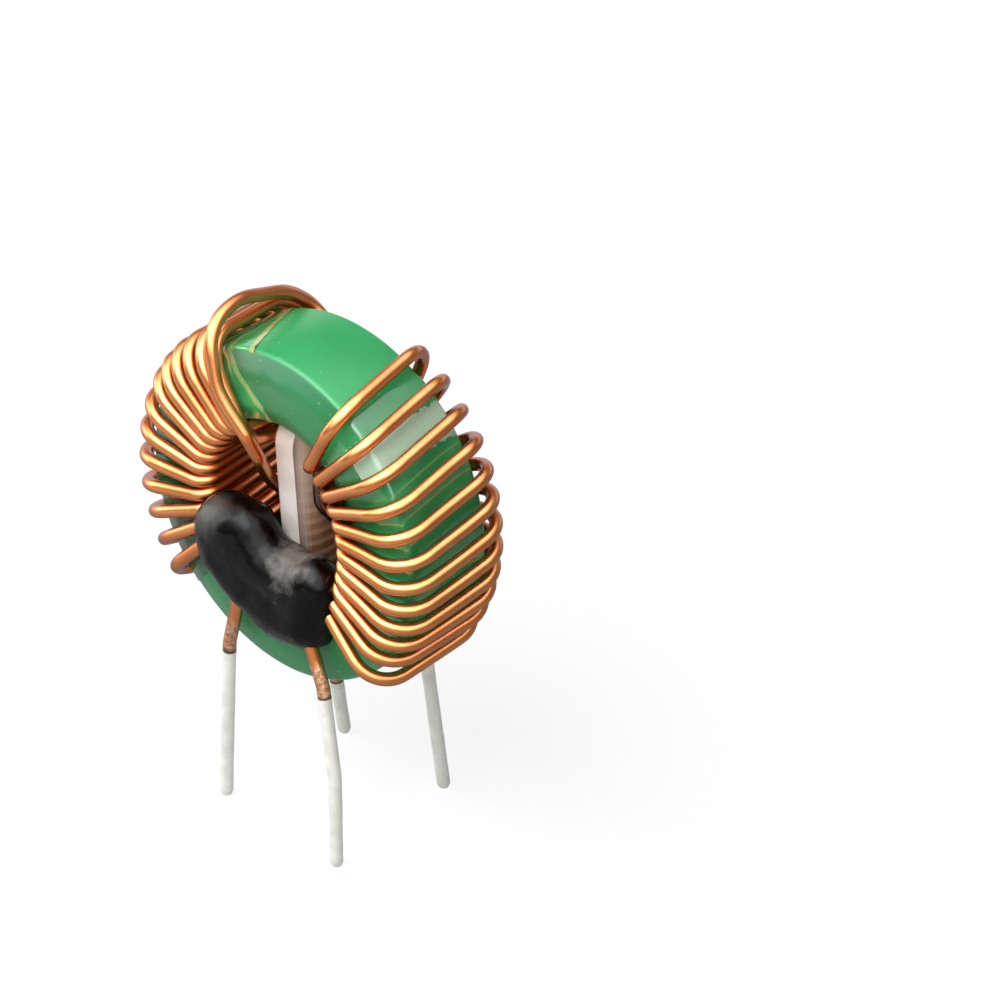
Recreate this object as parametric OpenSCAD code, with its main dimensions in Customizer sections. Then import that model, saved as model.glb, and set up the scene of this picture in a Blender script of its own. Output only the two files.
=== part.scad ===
// Common-mode choke: a coated ferrite ring that carries two windings of enamelled copper wire.
// A divider keeps the windings apart, black adhesive holds it and the leads, and the choke
// stands on the tinned ends of its four leads.
// Millimetres, +Z up. The ring's own axis runs along Y and its front face looks toward -Y.
// The origin is on the seating plane, straight below the ring's centre.

/* [Ring] */
// Outer diameter of the bare ferrite ring
core_od = 25; // [20:0.5:31]
// Bore of the bare ferrite ring
core_id = 15; // [12.5:0.5:18]
// Length of the ferrite ring along its own axis
core_h = 8; // [6:0.1:10]
// Width of the chamfers round the rim, measured along the radius
rim_chamfer = 1.8; // [0.5:0.1:2]
// Width of the chamfers round the bore, measured along the radius
bore_chamfer = 1.3; // [0.5:0.1:2]
// Depth of all four chamfers, measured along the ring's axis
chamfer_axial = 0.6; // [0.3:0.1:1]
// Thickness of the epoxy coating
coating_t = 0.25; // [0.1:0.01:0.4]

/* [Tape] */
// Thickness of the polyester tape under each winding
tape_t = 0.06; // [0.03:0.01:0.12]
// First edge and last edge of the left tape, in degrees round the ring
left_tape = [110, 228]; // [100:0.5:240]
// First edge and last edge of the right tape, in degrees round the ring
right_tape = [-52, 60]; // [-70:0.5:70]
// How far the left tape's upper edge leans from front to back, in degrees
tape_lean = 26; // [0:1:30]

/* [Wire] */
// Outer diameter of the enamelled wire
wire_d = 1; // [0.8:0.05:1.2]
// Diameter of the bare copper inside the tinned ends
bare_d = 0.88; // [0.7:0.01:0.9]
// Outer diameter of the tinned ends
tin_d = 0.96; // [0.92:0.01:1.2]
// Clearance between the wire and the tape in the bore
bore_gap = 0.02; // [0.01:0.01:0.1]
// Clearance between the wire and the tape on the faces
face_gap = 0.06; // [0.01:0.01:0.3]
// Clearance between the wire and the tape round the rim
rim_gap = 0.08; // [0.01:0.01:0.3]
// Bend radius of the wire at the edges of the bore
inner_bend = 1.2; // [0.8:0.1:1.2]
// Bend radius of the wire at the edges of the rim
outer_bend = 2.6; // [1.2:0.1:2.6]
// How far the stiff wire stands off beside those bends
corner_lift = 0.4; // [0.1:0.05:0.6]

/* [Left winding] */
// Clearance between neighbouring turns in the bore
left_gap = 0.015; // [0.01:0.005:0.3]
// Angle of the lowest turn in the bore
left_first = 214; // [205:0.5:216]
// Angle of the lowest turn on the rim
left_fan_first = 220.8; // [215:0.1:224]
// Angle of the highest turn on the rim
left_fan_last = 115.6; // [113:0.1:130]
// Share of the turns after which they lie closer on the rim
left_bunch_from = 0.58; // [0.3:0.02:0.8]
// How much closer those turns lie on the rim
left_bunch = 0.28; // [0:0.02:0.4]
// Lean of the turns from front to back on the rim, in degrees
left_lean = 8; // [0:0.5:9]

/* [Right winding] */
// Clearance between neighbouring turns in the bore
right_gap = 0.05; // [0.04:0.01:0.4]
// Angle of the highest turn in the bore
right_first = 57.3; // [50:0.1:60]
// Lowest angle that the turns may reach in the bore
right_limit = -42.5; // [-48:0.5:-30]
// Angle of the highest turn on the rim
right_fan_first = 58.8; // [50:0.1:62]
// Angle of the lowest turn on the rim, before its extra gap
right_fan_last = -33.4; // [-38:0.1:-20]
// How much the turns close up toward the bottom of the rim
right_bunch = 0.4; // [0:0.01:0.4]
// Extra gap before the lowest turn on the rim
right_tail = 10; // [0:0.1:8]
// How far the last turn of the right winding sags from the rim's front edge
right_sag = 0.5; // [0:0.05:0.6]
// How far the loops behind the first turns of the right winding stand off
right_loop = 0.45; // [0:0.05:0.6]
// Lean of the turns from front to back on the rim, in degrees
right_lean_rim = 8; // [0:0.5:9]
// Lean of the turns from front to back in the bore, in degrees
right_lean_bore = 3; // [0:0.5:4]

/* [Leads] */
// Height of the ring's lowest point above the seating plane
lead_drop = 12.25; // [10:0.25:20]
// Front left foot: across, and out from the ring's face
foot_a = [-4.48, 0.85]; // [-8:0.01:8]
// Front right foot: across, and out from the ring's face
foot_b = [7.57, 1.78]; // [-8:0.01:8]
// Back right foot: across, and out from the ring's face
foot_c = [5.92, 2.18]; // [-8:0.01:8]
// Back left foot: across, and out from the ring's face
foot_d = [-4.14, 2.2]; // [-8:0.01:8]
// Front left tin: across, out from the ring's face, and height of its top
tin_a = [-3.9, 0.95, 12.5]; // [-8:0.01:14]
// Front right tin: across, out from the ring's face, and height of its top
tin_b = [5.76, 1.05, 12.95]; // [-8:0.01:14]
// Back right tin: across, out from the ring's face, and height of its top
tin_c = [5.22, 0.93, 12.6]; // [-8:0.01:14]
// Back left tin: across, out from the ring's face, and height of its top
tin_back_left = [-4.37, 1.67, 4.5]; // [-8:0.01:14]
// Bend in the front right tin: across, out from the ring's face, and height
bend_b = [7.15, 1.45, 6.9]; // [-8:0.01:14]
// Radius of the bend in the front right tin
tin_bend = 2; // [1.5:0.1:3]
// Tin over the cut end of the copper
tip_cover = 0.1; // [0.05:0.01:0.3]
// Length of the enamel's chamfered end
enamel_step = 0.05; // [0.02:0.01:0.2]

/* [Divider] */
// Thickness of the divider across the bore
divider_t = 2.4; // [1.6:0.1:2.9]
// Length of the divider along the ring's axis
divider_len = 6; // [4:0.1:7.2]
// Radius of the divider's corners
divider_corner = 2.2; // [0.5:0.1:2.4]
// Lean of the divider round the ring's axis, in degrees
divider_lean = 5; // [0:0.5:6]
// Distance between the grooves across the divider's sides
groove_pitch = 0.8; // [0.6:0.1:2]
// Depth of those grooves
groove_depth = 0.06; // [0.03:0.01:0.15]

/* [Adhesive] */
// How far the adhesive stands out from the ring's face
glue_out = 2.5; // [2:0.1:3]
// Facets round one bead of adhesive
glue_facets = 16; // [12:4:24]

/* [Hidden] */

$fn = 96;
wire_sides = 8;
elbow_fullness = 0.02;
arc_step = 30;
far = 100;
divider_gap = 0.05;

rim_r = core_od / 2 + coating_t;
bore_r = core_id / 2 - coating_t;
face_y = core_h / 2 + coating_t;
ring_z = lead_drop + rim_r;

wire_r = wire_d / 2;
bore_wire = bore_r - tape_t - bore_gap - wire_r;
face_wire = face_y + tape_t + face_gap + wire_r;
rim_wire = rim_r + tape_t + rim_gap + wire_r;
corner_rho = rim_wire + corner_lift;
corner_y = face_wire + corner_lift;

// Angle at which a strand that runs rho from the ring's axis lies against the divider's left side
function beside_divider(rho) = 90 + divider_lean + asin((divider_t / 2 + wire_r + divider_gap) / rho);

left_pitch = 2 * asin((wire_d + left_gap) / 2 / bore_wire);
left_limit = beside_divider(bore_wire) - left_pitch * (face_wire - divider_len / 2) / 2 / face_wire;
left_turns = floor((left_first - left_limit) / left_pitch) + 1;
right_pitch = 2 * asin((wire_d + right_gap) / 2 / bore_wire);
right_turns = floor((right_first - right_limit) / right_pitch) + 1;

function unit(v) = v / norm(v);

// A point at radius rho and angle ang round the ring's axis, at y along it
function at(rho, ang, y) = [rho * cos(ang), y, ring_z + rho * sin(ang)];
// A point beside the front face or the back face, out from it
function front(x, out, z) = [x, -face_y - out, z];
function back(x, out, z) = [x, face_y + out, z];

// ---- Wire routes: each step is [point, bend radius, wire radius] ----

function enamelled(p, bend) = [p, bend, wire_r];
function stripped(p, bend = 0) = [p, bend, bare_d / 2];
function onward(from, to, d) = to + d * unit(to - from);

// Lead from its cut end up to the first bend above the tin; leg lists the tin's axis upward
function lead(leg) =
    let (n = len(leg), low = leg[n - 2], top = leg[n - 1])
    concat(
        [stripped(leg[0] + tip_cover * unit(leg[1] - leg[0]))],
        [for (i = [1 : n - 1]) stripped(leg[i], i < n - 1 ? tin_bend : 0)],
        [enamelled(onward(low, top, enamel_step), 0), enamelled(onward(low, top, 0.8), 1.5)]
    );

function backward(route) = [for (i = [len(route) - 1 : -1 : 0]) route[i]];

leg_a = [front(foot_a[0], foot_a[1], 0), front(tin_a[0], tin_a[1], tin_a[2])];
leg_b = [front(foot_b[0], foot_b[1], 0), front(bend_b[0], bend_b[1], bend_b[2]),
         front(tin_b[0], tin_b[1], tin_b[2])];
leg_c = [back(foot_c[0], foot_c[1], 0), back(tin_c[0], tin_c[1], tin_c[2])];
leg_d = [back(foot_d[0], foot_d[1], 0), back(tin_back_left[0], tin_back_left[1], tin_back_left[2])];

// Left winding: angles of turn k in the bore and on the rim, counted from the bottom
left_slope = 1 / (1 - left_bunch * (1 - left_bunch_from));
function left_in(k) = left_first - k * left_pitch;
function left_out(k) =
    let (u = k / (left_turns - 1))
    left_fan_first - (left_fan_first - left_fan_last) * left_slope
        * (u - left_bunch * max(0, u - left_bunch_from));

function left_turn(k) = [
    enamelled(at(bore_wire, left_in(k), face_wire), inner_bend),
    enamelled(at(corner_rho, left_out(k) + left_lean, corner_y), outer_bend),
    enamelled(at(corner_rho, left_out(k), -corner_y), outer_bend),
    k == left_turns - 1 ? enamelled(at(bore_wire - 0.5, left_in(k) - 0.2, -face_wire - 0.05), inner_bend)
                        : enamelled(at(bore_wire, left_in(k), -face_wire), inner_bend)
];

// The last strand crosses over the top turn, makes a raised loop and goes down through the bore
exit_angle = left_fan_last - 4.4;
over_wire = bore_wire - wire_d - 0.03;
function left_of_divider(z, gap) =
    -(divider_t / 2 + wire_r) / cos(divider_lean) - z * tan(divider_lean) - gap;
left_exit = [
    enamelled(at(over_wire, beside_divider(over_wire), -face_wire + 1.9), 2),
    enamelled(at(over_wire, beside_divider(over_wire) + 0.4, face_wire + wire_d + 0.1), 1),
    enamelled(at(over_wire + 3.4, exit_angle - 1.4, face_wire + wire_d + 0.1), 2),
    enamelled(at(rim_wire - 0.8, exit_angle + 5.6, face_wire + 0.25), 2.5),
    enamelled(at(rim_wire + 0.8, exit_angle + 4.9, face_wire - 1.5), 6),
    enamelled(at(rim_wire + 2.35, exit_angle + 1.4, -face_wire + 2.8), 9),
    enamelled(at(rim_wire + 1.35, exit_angle - 0.3, -face_wire - 0.75), 4),
    enamelled(at(bore_wire + 4, exit_angle + 0.5, -face_wire - 1.25), 9),
    enamelled(at(bore_wire + 2.2, exit_angle - 2.6, -face_wire - 1.1), 4),
    enamelled([-1.5, -face_y - 1.4, ring_z + bore_r - 0.55], 1),
    enamelled([-1.25, -face_y - 0.45, ring_z + bore_r - 2.65], 2),
    enamelled([left_of_divider(1.9, 0.1), -face_y + 1.25, ring_z + 1.9], 3),
    enamelled([left_of_divider(-2, 0.6), 0.4, ring_z - 2], 4),
    enamelled([left_of_divider(-5, 1.3), face_y - 1.05, ring_z - bore_r + 2.05], 3),
    enamelled(back(-2.8, 0.95, ring_z - bore_r - 0.35), 2),
    enamelled(back(-3.4, 1.15, ring_z - bore_r - 3.2), 4)
];

left_route = concat(
    lead(leg_a),
    [enamelled(front(-3.03, 0.95, ring_z - bore_r - 0.67), 2),
     enamelled(at(bore_wire, left_in(-1) + 0.5, -face_wire - 0.1), 1.2)],
    [for (k = [0 : left_turns - 1]) each left_turn(k)],
    left_exit,
    backward(lead(leg_d))
);

// Right winding: angles of turn k in the bore and on the rim, counted from the top
function right_in(k) = right_first - k * right_pitch;
function right_out(k) =
    let (u = k / (right_turns - 1))
    right_fan_first - (right_fan_first - right_fan_last) * ((1 + right_bunch) * u - right_bunch * u * u)
        - (k == right_turns - 1 ? right_tail : 0);

function right_slack(k) = right_loop * (1 - k / (right_turns - 1));

function right_turn(k) = [
    k == 0 ? enamelled(at(bore_wire + 0.5, right_in(0), -face_wire - 0.05), inner_bend)
           : enamelled(at(bore_wire, right_in(k), -face_wire), inner_bend),
    enamelled(at(corner_rho + (k == right_turns - 1 ? right_sag : 0), right_out(k), -corner_y), outer_bend),
    enamelled(at(corner_rho + right_slack(k), right_out(k) + right_lean_rim, corner_y + right_slack(k)),
              outer_bend),
    enamelled(at(bore_wire, right_in(k) + right_lean_bore, face_wire), inner_bend)
];

// The first strand comes up behind the ring and climbs through the bore beside the divider
right_entry = [
    enamelled(back(3, 0.85, ring_z - bore_r + 0.25), 2),
    enamelled([3.2, face_y - 1.25, ring_z - bore_r + 3.25], 3),
    enamelled([3.2, -face_y + 3.19, ring_z - 0.38], 1.5),
    enamelled([2.4, -face_y + 2.03, ring_z + 1.32], 1.5),
    enamelled([2.4, -face_y + 1.9, ring_z + 3.3], 3),
    enamelled([2.9, -face_y + 1.57, ring_z + bore_r - 1.68], 2)
];

right_route = concat(
    lead(leg_c),
    right_entry,
    [for (k = [0 : right_turns - 1]) each right_turn(k)],
    [enamelled(at(bore_wire, right_in(right_turns), -face_wire - 0.1), 1.2),
     enamelled(front(4.31, 1.05, ring_z - bore_r - 0.73), 2)],
    backward(lead(leg_b))
);

// ---- Round tube along a route ----

// The route's step b between a and c, as the points of its bend
function bend_points(a, b, c) =
    let (u = unit(a[0] - b[0]), v = unit(c[0] - b[0]), turn = 180 - acos(max(-1, min(1, u * v))))
    turn < 6 || b[1] == 0 ? [[b[0], b[2]]] :
    let (
        limit = 0.48 * min(norm(a[0] - b[0]), norm(c[0] - b[0])),
        reach = min(b[1] * tan(turn / 2), limit),
        radius = reach / tan(turn / 2),
        centre = b[0] + unit(u + v) * radius / cos(turn / 2),
        start = unit(b[0] + u * reach - centre),
        n = ceil(turn / arc_step)
    )
    [for (i = [0 : n]) [centre + radius * (start * cos(turn * i / n) - u * sin(turn * i / n)), b[2]]];

function rounded(route) =
    let (last = len(route) - 1)
    concat(
        [[route[0][0], route[0][2]]],
        [for (i = [1 : last - 1]) each bend_points(route[i - 1], route[i], route[i + 1])],
        [[route[last][0], route[last][2]]]
    );

function tangents(path) =
    let (last = len(path) - 1)
    [for (i = [0 : last])
        i == 0 ? unit(path[1][0] - path[0][0]) :
        i == last ? unit(path[last][0] - path[last - 1][0]) :
        unit(unit(path[i + 1][0] - path[i][0]) + unit(path[i][0] - path[i - 1][0]))];

// One side vector for each ring, carried along the path without twist
function side_vectors(t) = [
    for (i = 0, s = unit(cross(t[0], [0, 1, 0]));
         i < len(t);
         i = i + 1, s = i < len(t) ? unit(s - (s * t[i]) * t[i]) : s)
        s
];

module tube(path) {
    t = tangents(path);
    s = side_vectors(t);
    n = len(path);
    points = [
        for (i = [0 : n - 1])
            for (j = [0 : wire_sides - 1])
                let (a = 360 * j / wire_sides)
                path[i][0] + path[i][1] * (cos(a) * s[i] + sin(a) * cross(t[i], s[i]))
    ];
    first_cap = [for (j = [1 : wire_sides - 2]) [0, j, j + 1]];
    last_cap = [for (j = [1 : wire_sides - 2]) (n - 1) * wire_sides * [1, 1, 1] + [0, j + 1, j]];
    walls = [
        for (i = [0 : n - 2])
            for (j = [0 : wire_sides - 1])
                let (a = i * wire_sides + j, b = i * wire_sides + (j + 1) % wire_sides)
                each [[a, b + wire_sides, b], [a, a + wire_sides, b + wire_sides]]
    ];
    polyhedron(points = points, faces = concat(first_cap, last_cap, walls), convexity = 20);
}

// ---- Ring ----

// Section of a ring with chamfered edges: inner radius, outer radius and half length
module ring_section(r_in, r_out, half) {
    a = half - chamfer_axial;
    polygon([
        [r_in, -a], [r_in + bore_chamfer, -half], [r_out - rim_chamfer, -half], [r_out, -a],
        [r_out, a], [r_out - rim_chamfer, half], [r_in + bore_chamfer, half], [r_in, a]
    ]);
}

// A ring grown evenly by `grow` over the bare ferrite
module ring(grow) {
    translate([0, 0, ring_z])
        rotate([90, 0, 0])
            rotate_extrude()
                ring_section(core_id / 2 - grow, core_od / 2 + grow, core_h / 2 + grow);
}

module ferrite_core() {
    color("dimgray") ring(0);
}

module core_coating() {
    color("mediumseagreen")
        difference() {
            ring(coating_t);
            ring(0);
        }
}

// Everything past angle ang round the ring, from a plane that leans by lean from front to back
module beyond(ang, lean) {
    translate([0, 0, ring_z])
        rotate([0, -ang, 0])
            rotate([lean, 0, 0])
                translate([-far, -far, 0])
                    cube([2 * far, 2 * far, far]);
}

module tape_band(first, last, lean) {
    intersection() {
        difference() {
            ring(coating_t + tape_t);
            ring(coating_t);
        }
        beyond(first, lean);
        beyond(last - 180, 0);
    }
}

// The left tape reaches the divider, so it is cut round it
module insulation_tape_left() {
    color("khaki")
        difference() {
            tape_band(left_tape[0], left_tape[1], tape_lean);
            divider_blank();
        }
}

module insulation_tape_right() {
    color("khaki") tape_band(right_tape[0], right_tape[1], 0);
}

// ---- Windings ----

module winding_left() {
    color("peru") tube(rounded(left_route));
}

module winding_right() {
    color("peru") tube(rounded(right_route));
}

// ---- Tinned ends ----

module aim(p, d) {
    translate(p)
        rotate([0, acos(d[2] / norm(d)), atan2(d[1], d[0])])
            children();
}

module rod(a, b, r) {
    aim(a, b - a) cylinder(h = norm(b - a), r = r);
}

// Everything below the seating plane
module below_seat() {
    translate([-far, -far, -2 * far]) cube(2 * far);
}

// Tin round a straight lead: flat on the seating plane, and closed under the copper's cut end
module straight_tin(leg) {
    u = unit(leg[1] - leg[0]);
    color("gainsboro")
        difference() {
            rod(leg[0] - u, leg[1], tin_d / 2);
            rod(leg[0] + tip_cover * u, leg[1] + u, bare_d / 2);
            below_seat();
        }
}

// Rod round a bent lead's axis, a little fuller at its elbow
module bent_rod(from, elbow, to, r) {
    rod(from, elbow, r);
    translate(elbow) sphere(r + elbow_fullness);
    rod(elbow, to, r);
}

// The same round a lead with a bend at leg[1]
module bent_tin(leg) {
    u = unit(leg[1] - leg[0]);
    v = unit(leg[2] - leg[1]);
    color("gainsboro")
        difference() {
            bent_rod(leg[0] - u, leg[1], leg[2], tin_d / 2);
            bent_rod(leg[0] + tip_cover * u, leg[1], leg[2] + v, bare_d / 2);
            below_seat();
        }
}

module tinned_end_front_left() {
    straight_tin(leg_a);
}

module tinned_end_front_right() {
    bent_tin(leg_b);
}

module tinned_end_back_right() {
    straight_tin(leg_c);
}

module tinned_end_back_left() {
    straight_tin(leg_d);
}

// ---- Divider ----

// Outline of the divider seen along its thickness, with round corners
module divider_outline() {
    r = divider_corner;
    square([divider_len - 2 * r, 2 * bore_r], center = true);
    square([divider_len, 2 * bore_r - 2 * r], center = true);
    for (x = [-1, 1])
        for (y = [-1, 1])
            translate([x * (divider_len / 2 - r), y * (bore_r - r)]) circle(r = r);
}

// Plate that fills the bore from wall to wall and follows its curve
module divider_blank() {
    translate([0, 0, ring_z])
        rotate([0, -divider_lean, 0])
            intersection() {
                translate([-divider_t / 2, 0, 0])
                    rotate([90, 0, 90])
                        linear_extrude(divider_t) divider_outline();
                rotate([90, 0, 0]) cylinder(h = 2 * face_y, r = bore_r, center = true);
            }
}

module divider() {
    grooves = floor((bore_r - divider_corner) / groove_pitch);
    color("gainsboro")
        difference() {
            divider_blank();
            translate([0, 0, ring_z])
                rotate([0, -divider_lean, 0])
                    for (i = [-grooves : grooves])
                        for (side = [-1, 1])
                            translate([side * divider_t / 2, 0, i * groove_pitch])
                                cube([2 * groove_depth, far, groove_pitch / 4], center = true);
        }
}

// ---- Adhesive ----

// Beads along the bore's lower edge: [across, above the bore's lowest point, radius]
beads = [
    [-4.6, 4.7, 2.3], [-2.1, 5.5, 2], [-4.1, 2.9, 2.5], [-0.7, 3.7, 1.9], [-2.7, 2, 2.5],
    [-0.4, 2, 2.2], [1.3, 0.5, 2.5], [3.4, 0.7, 2.3], [4, 3, 2.1], [4.5, 4, 1.9]
];

// Adhesive on one side of the ring: side is -1 for the front and 1 for the back
module adhesive(side) {
    color("darkslategray")
        difference() {
            for (i = [0 : len(beads) - 3])
                hull()
                    for (j = [i : i + 2])
                        translate([beads[j][0],
                                   side * (face_y + glue_out - beads[j][2]),
                                   ring_z - bore_r + beads[j][1]])
                            sphere(r = beads[j][2], $fn = glue_facets);
            ring(coating_t + tape_t);
            divider_blank();
            winding_left();
            winding_right();
        }
}

module adhesive_front() {
    adhesive(-1);
}

module adhesive_back() {
    adhesive(1);
}

ferrite_core();
core_coating();
insulation_tape_left();
insulation_tape_right();
winding_left();
winding_right();
divider();
adhesive_front();
adhesive_back();
tinned_end_front_left();
tinned_end_front_right();
tinned_end_back_right();
tinned_end_back_left();
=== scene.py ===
"""Common-mode choke on a pale table: a coated ferrite ring that carries two copper windings.

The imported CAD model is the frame. Most pieces are modelled again here with the finish of the real
thing, in the place of the CAD node they stand for. Sizes are in millimetres and become metres when a
mesh is made. +Z is up, the ring's own axis runs along Y and its front face looks toward -Y.
"""

import logging
import math
from abc import ABC, abstractmethod
from contextlib import contextmanager
from dataclasses import dataclass
from enum import Enum
from typing import Any, ClassVar, Dict, Iterator, List, Optional, Sequence, Tuple

import bpy
from mathutils import Matrix, Vector, noise


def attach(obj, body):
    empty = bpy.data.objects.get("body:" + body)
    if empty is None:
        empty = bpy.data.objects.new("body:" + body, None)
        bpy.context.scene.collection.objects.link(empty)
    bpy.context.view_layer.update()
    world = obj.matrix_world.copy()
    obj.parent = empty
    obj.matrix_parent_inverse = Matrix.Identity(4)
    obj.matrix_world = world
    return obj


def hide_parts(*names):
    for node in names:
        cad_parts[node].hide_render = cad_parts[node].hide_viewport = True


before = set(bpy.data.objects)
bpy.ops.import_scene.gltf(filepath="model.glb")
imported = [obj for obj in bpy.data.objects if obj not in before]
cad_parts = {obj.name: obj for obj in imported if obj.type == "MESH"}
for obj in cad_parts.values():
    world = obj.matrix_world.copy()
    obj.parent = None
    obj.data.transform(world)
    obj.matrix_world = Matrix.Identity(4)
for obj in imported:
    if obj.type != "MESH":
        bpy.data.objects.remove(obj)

log = logging.getLogger("choke")

MM = 0.001
SEED = 1  # of the waver in the wires
PAST_RING = 9.0  # a y past the whole ring, in millimetres
LEAST_TURN = 6.0  # degrees of turn under which a wire's corner needs no bend
ARC_STEP = 7.0  # degrees between the points of a bend
BEND_SHARE = 0.48  # share of a stretch that the bend at one of its ends may take
TUBE_ROUNDNESS = 6  # bevel resolution, which gives a wire's section 16 corners
TUBE_WELD = 0.0005  # millimetres within which a wire's vertices are one
TUBE_CREASE = 50.0  # degrees from which a wire's edges stay crisp

Colour = Tuple[float, float, float, float]
Place = Tuple[float, float, float]
Stops = Sequence[Tuple[float, Colour]]


class Side(Enum):
    """The side of the ring that something lies on, as the sign of its Y."""

    FRONT = -1
    BACK = 1


class WearAndShade(Enum):
    """What a wire's skin has been through, and where shade is painted on it. Each is an attribute of
    its mesh, from 0 to 1.
    """

    SCRAPED = "scraped"
    BURNT = "burnt"
    PAINTED_SHADE = "painted_shade"


# ---------------------------------------------------------------- directions and colours


def outward(angle: float) -> Vector:
    """Radial direction at an angle round the ring."""
    a = math.radians(angle)
    return Vector((math.cos(a), 0, math.sin(a)))


def onward(angle: float) -> Vector:
    """Direction round the ring at an angle."""
    a = math.radians(angle)
    return Vector((-math.sin(a), 0, math.cos(a)))


def clamped(value: float) -> float:
    """A value kept between 0 and 1."""
    return max(0.0, min(1.0, value))


def linear(hex_colour: str) -> Colour:
    """Turns an sRGB hex value into linear colour.

    Args:
        hex_colour: The colour as "#RRGGBB".

    Returns:
        Linear red, green, blue and an alpha of 1.
    """
    parts = [int(hex_colour[i : i + 2], 16) / 255 for i in (1, 3, 5)]
    r, g, b = [c / 12.92 if c <= 0.04045 else ((c + 0.055) / 1.055) ** 2.4 for c in parts]
    return (r, g, b, 1.0)


def grey(value: float) -> Colour:
    """A linear grey."""
    return (value, value, value, 1.0)


# ---------------------------------------------------------------- nodes


def add_node(tree: bpy.types.NodeTree, kind: str, inputs: Optional[Dict[Any, Any]] = None,
             stops: Stops = (), **settings: Any) -> bpy.types.Node:
    """Adds a node with its settings and links.

    Args:
        tree: The node tree it goes into.
        kind: The node's Blender type name.
        inputs: Input name or number to its value, or to the socket or node that it is linked from.
            A node gives the first output that its settings leave in use.
        stops: Place and linear colour of each stop of a colour ramp, in order.
        settings: Properties of the node.

    Returns:
        The new node.
    """
    made = tree.nodes.new(kind)
    for key, value in settings.items():
        setattr(made, key, value)
    for key, value in (inputs or {}).items():
        if isinstance(value, bpy.types.Node):
            value = next(socket for socket in value.outputs if socket.enabled)
        if isinstance(value, bpy.types.NodeSocket):
            tree.links.new(value, made.inputs[key])
        else:
            made.inputs[key].default_value = value
    if stops:
        band = made.color_ramp.elements
        while len(band) < len(stops):
            band.new(0.5)
        for element, (place, colour) in zip(band, stops):
            element.position = place
            element.color = colour
    return made


def emptied(owner: Any) -> bpy.types.NodeTree:
    """Switches on a node tree and empties it.

    Args:
        owner: The material or the world that it belongs to.

    Returns:
        The tree.
    """
    owner.use_nodes = True
    owner.node_tree.nodes.clear()
    return owner.node_tree


def per_mm(tree: bpy.types.NodeTree) -> bpy.types.Node:
    """Object coordinates in millimetres."""
    place = add_node(tree, "ShaderNodeTexCoord").outputs["Object"]
    return add_node(tree, "ShaderNodeVectorMath", {0: place, "Scale": 1 / MM}, operation="SCALE")


def along(tree: bpy.types.NodeTree, at: bpy.types.Node, start: Vector,
          direction: Sequence[float]) -> bpy.types.Node:
    """Measures how far a place is from a start along a direction.

    Args:
        tree: The material's tree.
        at: Object coordinates in millimetres.
        start: Where the measure starts.
        direction: Its direction.

    Returns:
        The node that gives the distance in millimetres.
    """
    offset = add_node(tree, "ShaderNodeVectorMath", {0: at, 1: start}, operation="SUBTRACT")
    return add_node(tree, "ShaderNodeVectorMath", {0: offset, 1: direction},
                    operation="DOT_PRODUCT")


def by_ray(tree: bpy.types.NodeTree, other: bpy.types.Node, glossed: bpy.types.Node,
           seen: bpy.types.Node) -> bpy.types.Node:
    """Shows different shaders to different rays.

    Args:
        tree: The node tree.
        other: What lights the pieces.
        glossed: What gloss finds.
        seen: What is seen straight from the camera or through glass.

    Returns:
        The shader that chooses.
    """
    path = add_node(tree, "ShaderNodeLightPath").outputs
    straight = add_node(tree, "ShaderNodeMath",
                        {0: path["Is Camera Ray"], 1: path["Is Transmission Ray"]},
                        operation="MAXIMUM")
    indirect = add_node(tree, "ShaderNodeMixShader",
                        {0: path["Is Glossy Ray"], 1: other, 2: glossed})
    return add_node(tree, "ShaderNodeMixShader", {0: straight, 1: indirect, 2: seen})


# ---------------------------------------------------------------- pieces


def only(piece: bpy.types.Object) -> None:
    """Makes a piece the only one selected and the active one.

    Args:
        piece: The piece.
    """
    bpy.ops.object.select_all(action="DESELECT")
    piece.select_set(True)
    bpy.context.view_layer.objects.active = piece


@contextmanager
def editing(piece: bpy.types.Object) -> Iterator[None]:
    """Opens a piece in edit mode, selected all over, and closes it again.

    Args:
        piece: The piece.

    Yields:
        Nothing, while the piece is open.
    """
    only(piece)
    bpy.ops.object.mode_set(mode="EDIT")
    bpy.ops.mesh.select_all(action="SELECT")
    yield
    bpy.ops.object.mode_set(mode="OBJECT")


def apply_modifier(piece: bpy.types.Object, kind: str, **settings: Any) -> None:
    """Adds a modifier to a piece and applies it.

    Args:
        piece: The piece.
        kind: The modifier's type.
        settings: Its properties.
    """
    only(piece)
    made = piece.modifiers.new(kind.lower(), kind)
    for key, value in settings.items():
        setattr(made, key, value)
    bpy.ops.object.modifier_apply(modifier=made.name)


def settle(piece: bpy.types.Object) -> None:
    """Puts a piece's place, turn and size into its mesh, so that its object sits at the origin."""
    only(piece)
    bpy.ops.object.transform_apply(location=True, rotation=True, scale=True)


def smooth(piece: bpy.types.Object, degrees: float) -> None:
    """Shades a piece smooth, with edges sharper than an angle left crisp."""
    only(piece)
    bpy.ops.object.shade_smooth_by_angle(angle=math.radians(degrees))


def cut(piece: bpy.types.Object, height: float, normal: Sequence[float]) -> None:
    """Cuts away what lies behind a plane and closes the piece.

    Args:
        piece: The piece.
        height: Height at which the plane meets the Z axis, in millimetres.
        normal: The plane's normal.
    """
    with editing(piece):
        bpy.ops.mesh.bisect(plane_co=(0, 0, height * MM), plane_no=normal, use_fill=True,
                            clear_inner=True)


def joined(pieces: Sequence[bpy.types.Object]) -> bpy.types.Object:
    """Joins pieces into the last of them.

    Args:
        pieces: The pieces.

    Returns:
        The joined piece.
    """
    only(pieces[-1])
    for piece in pieces:
        piece.select_set(True)
    bpy.ops.object.join()
    return bpy.context.object


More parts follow.
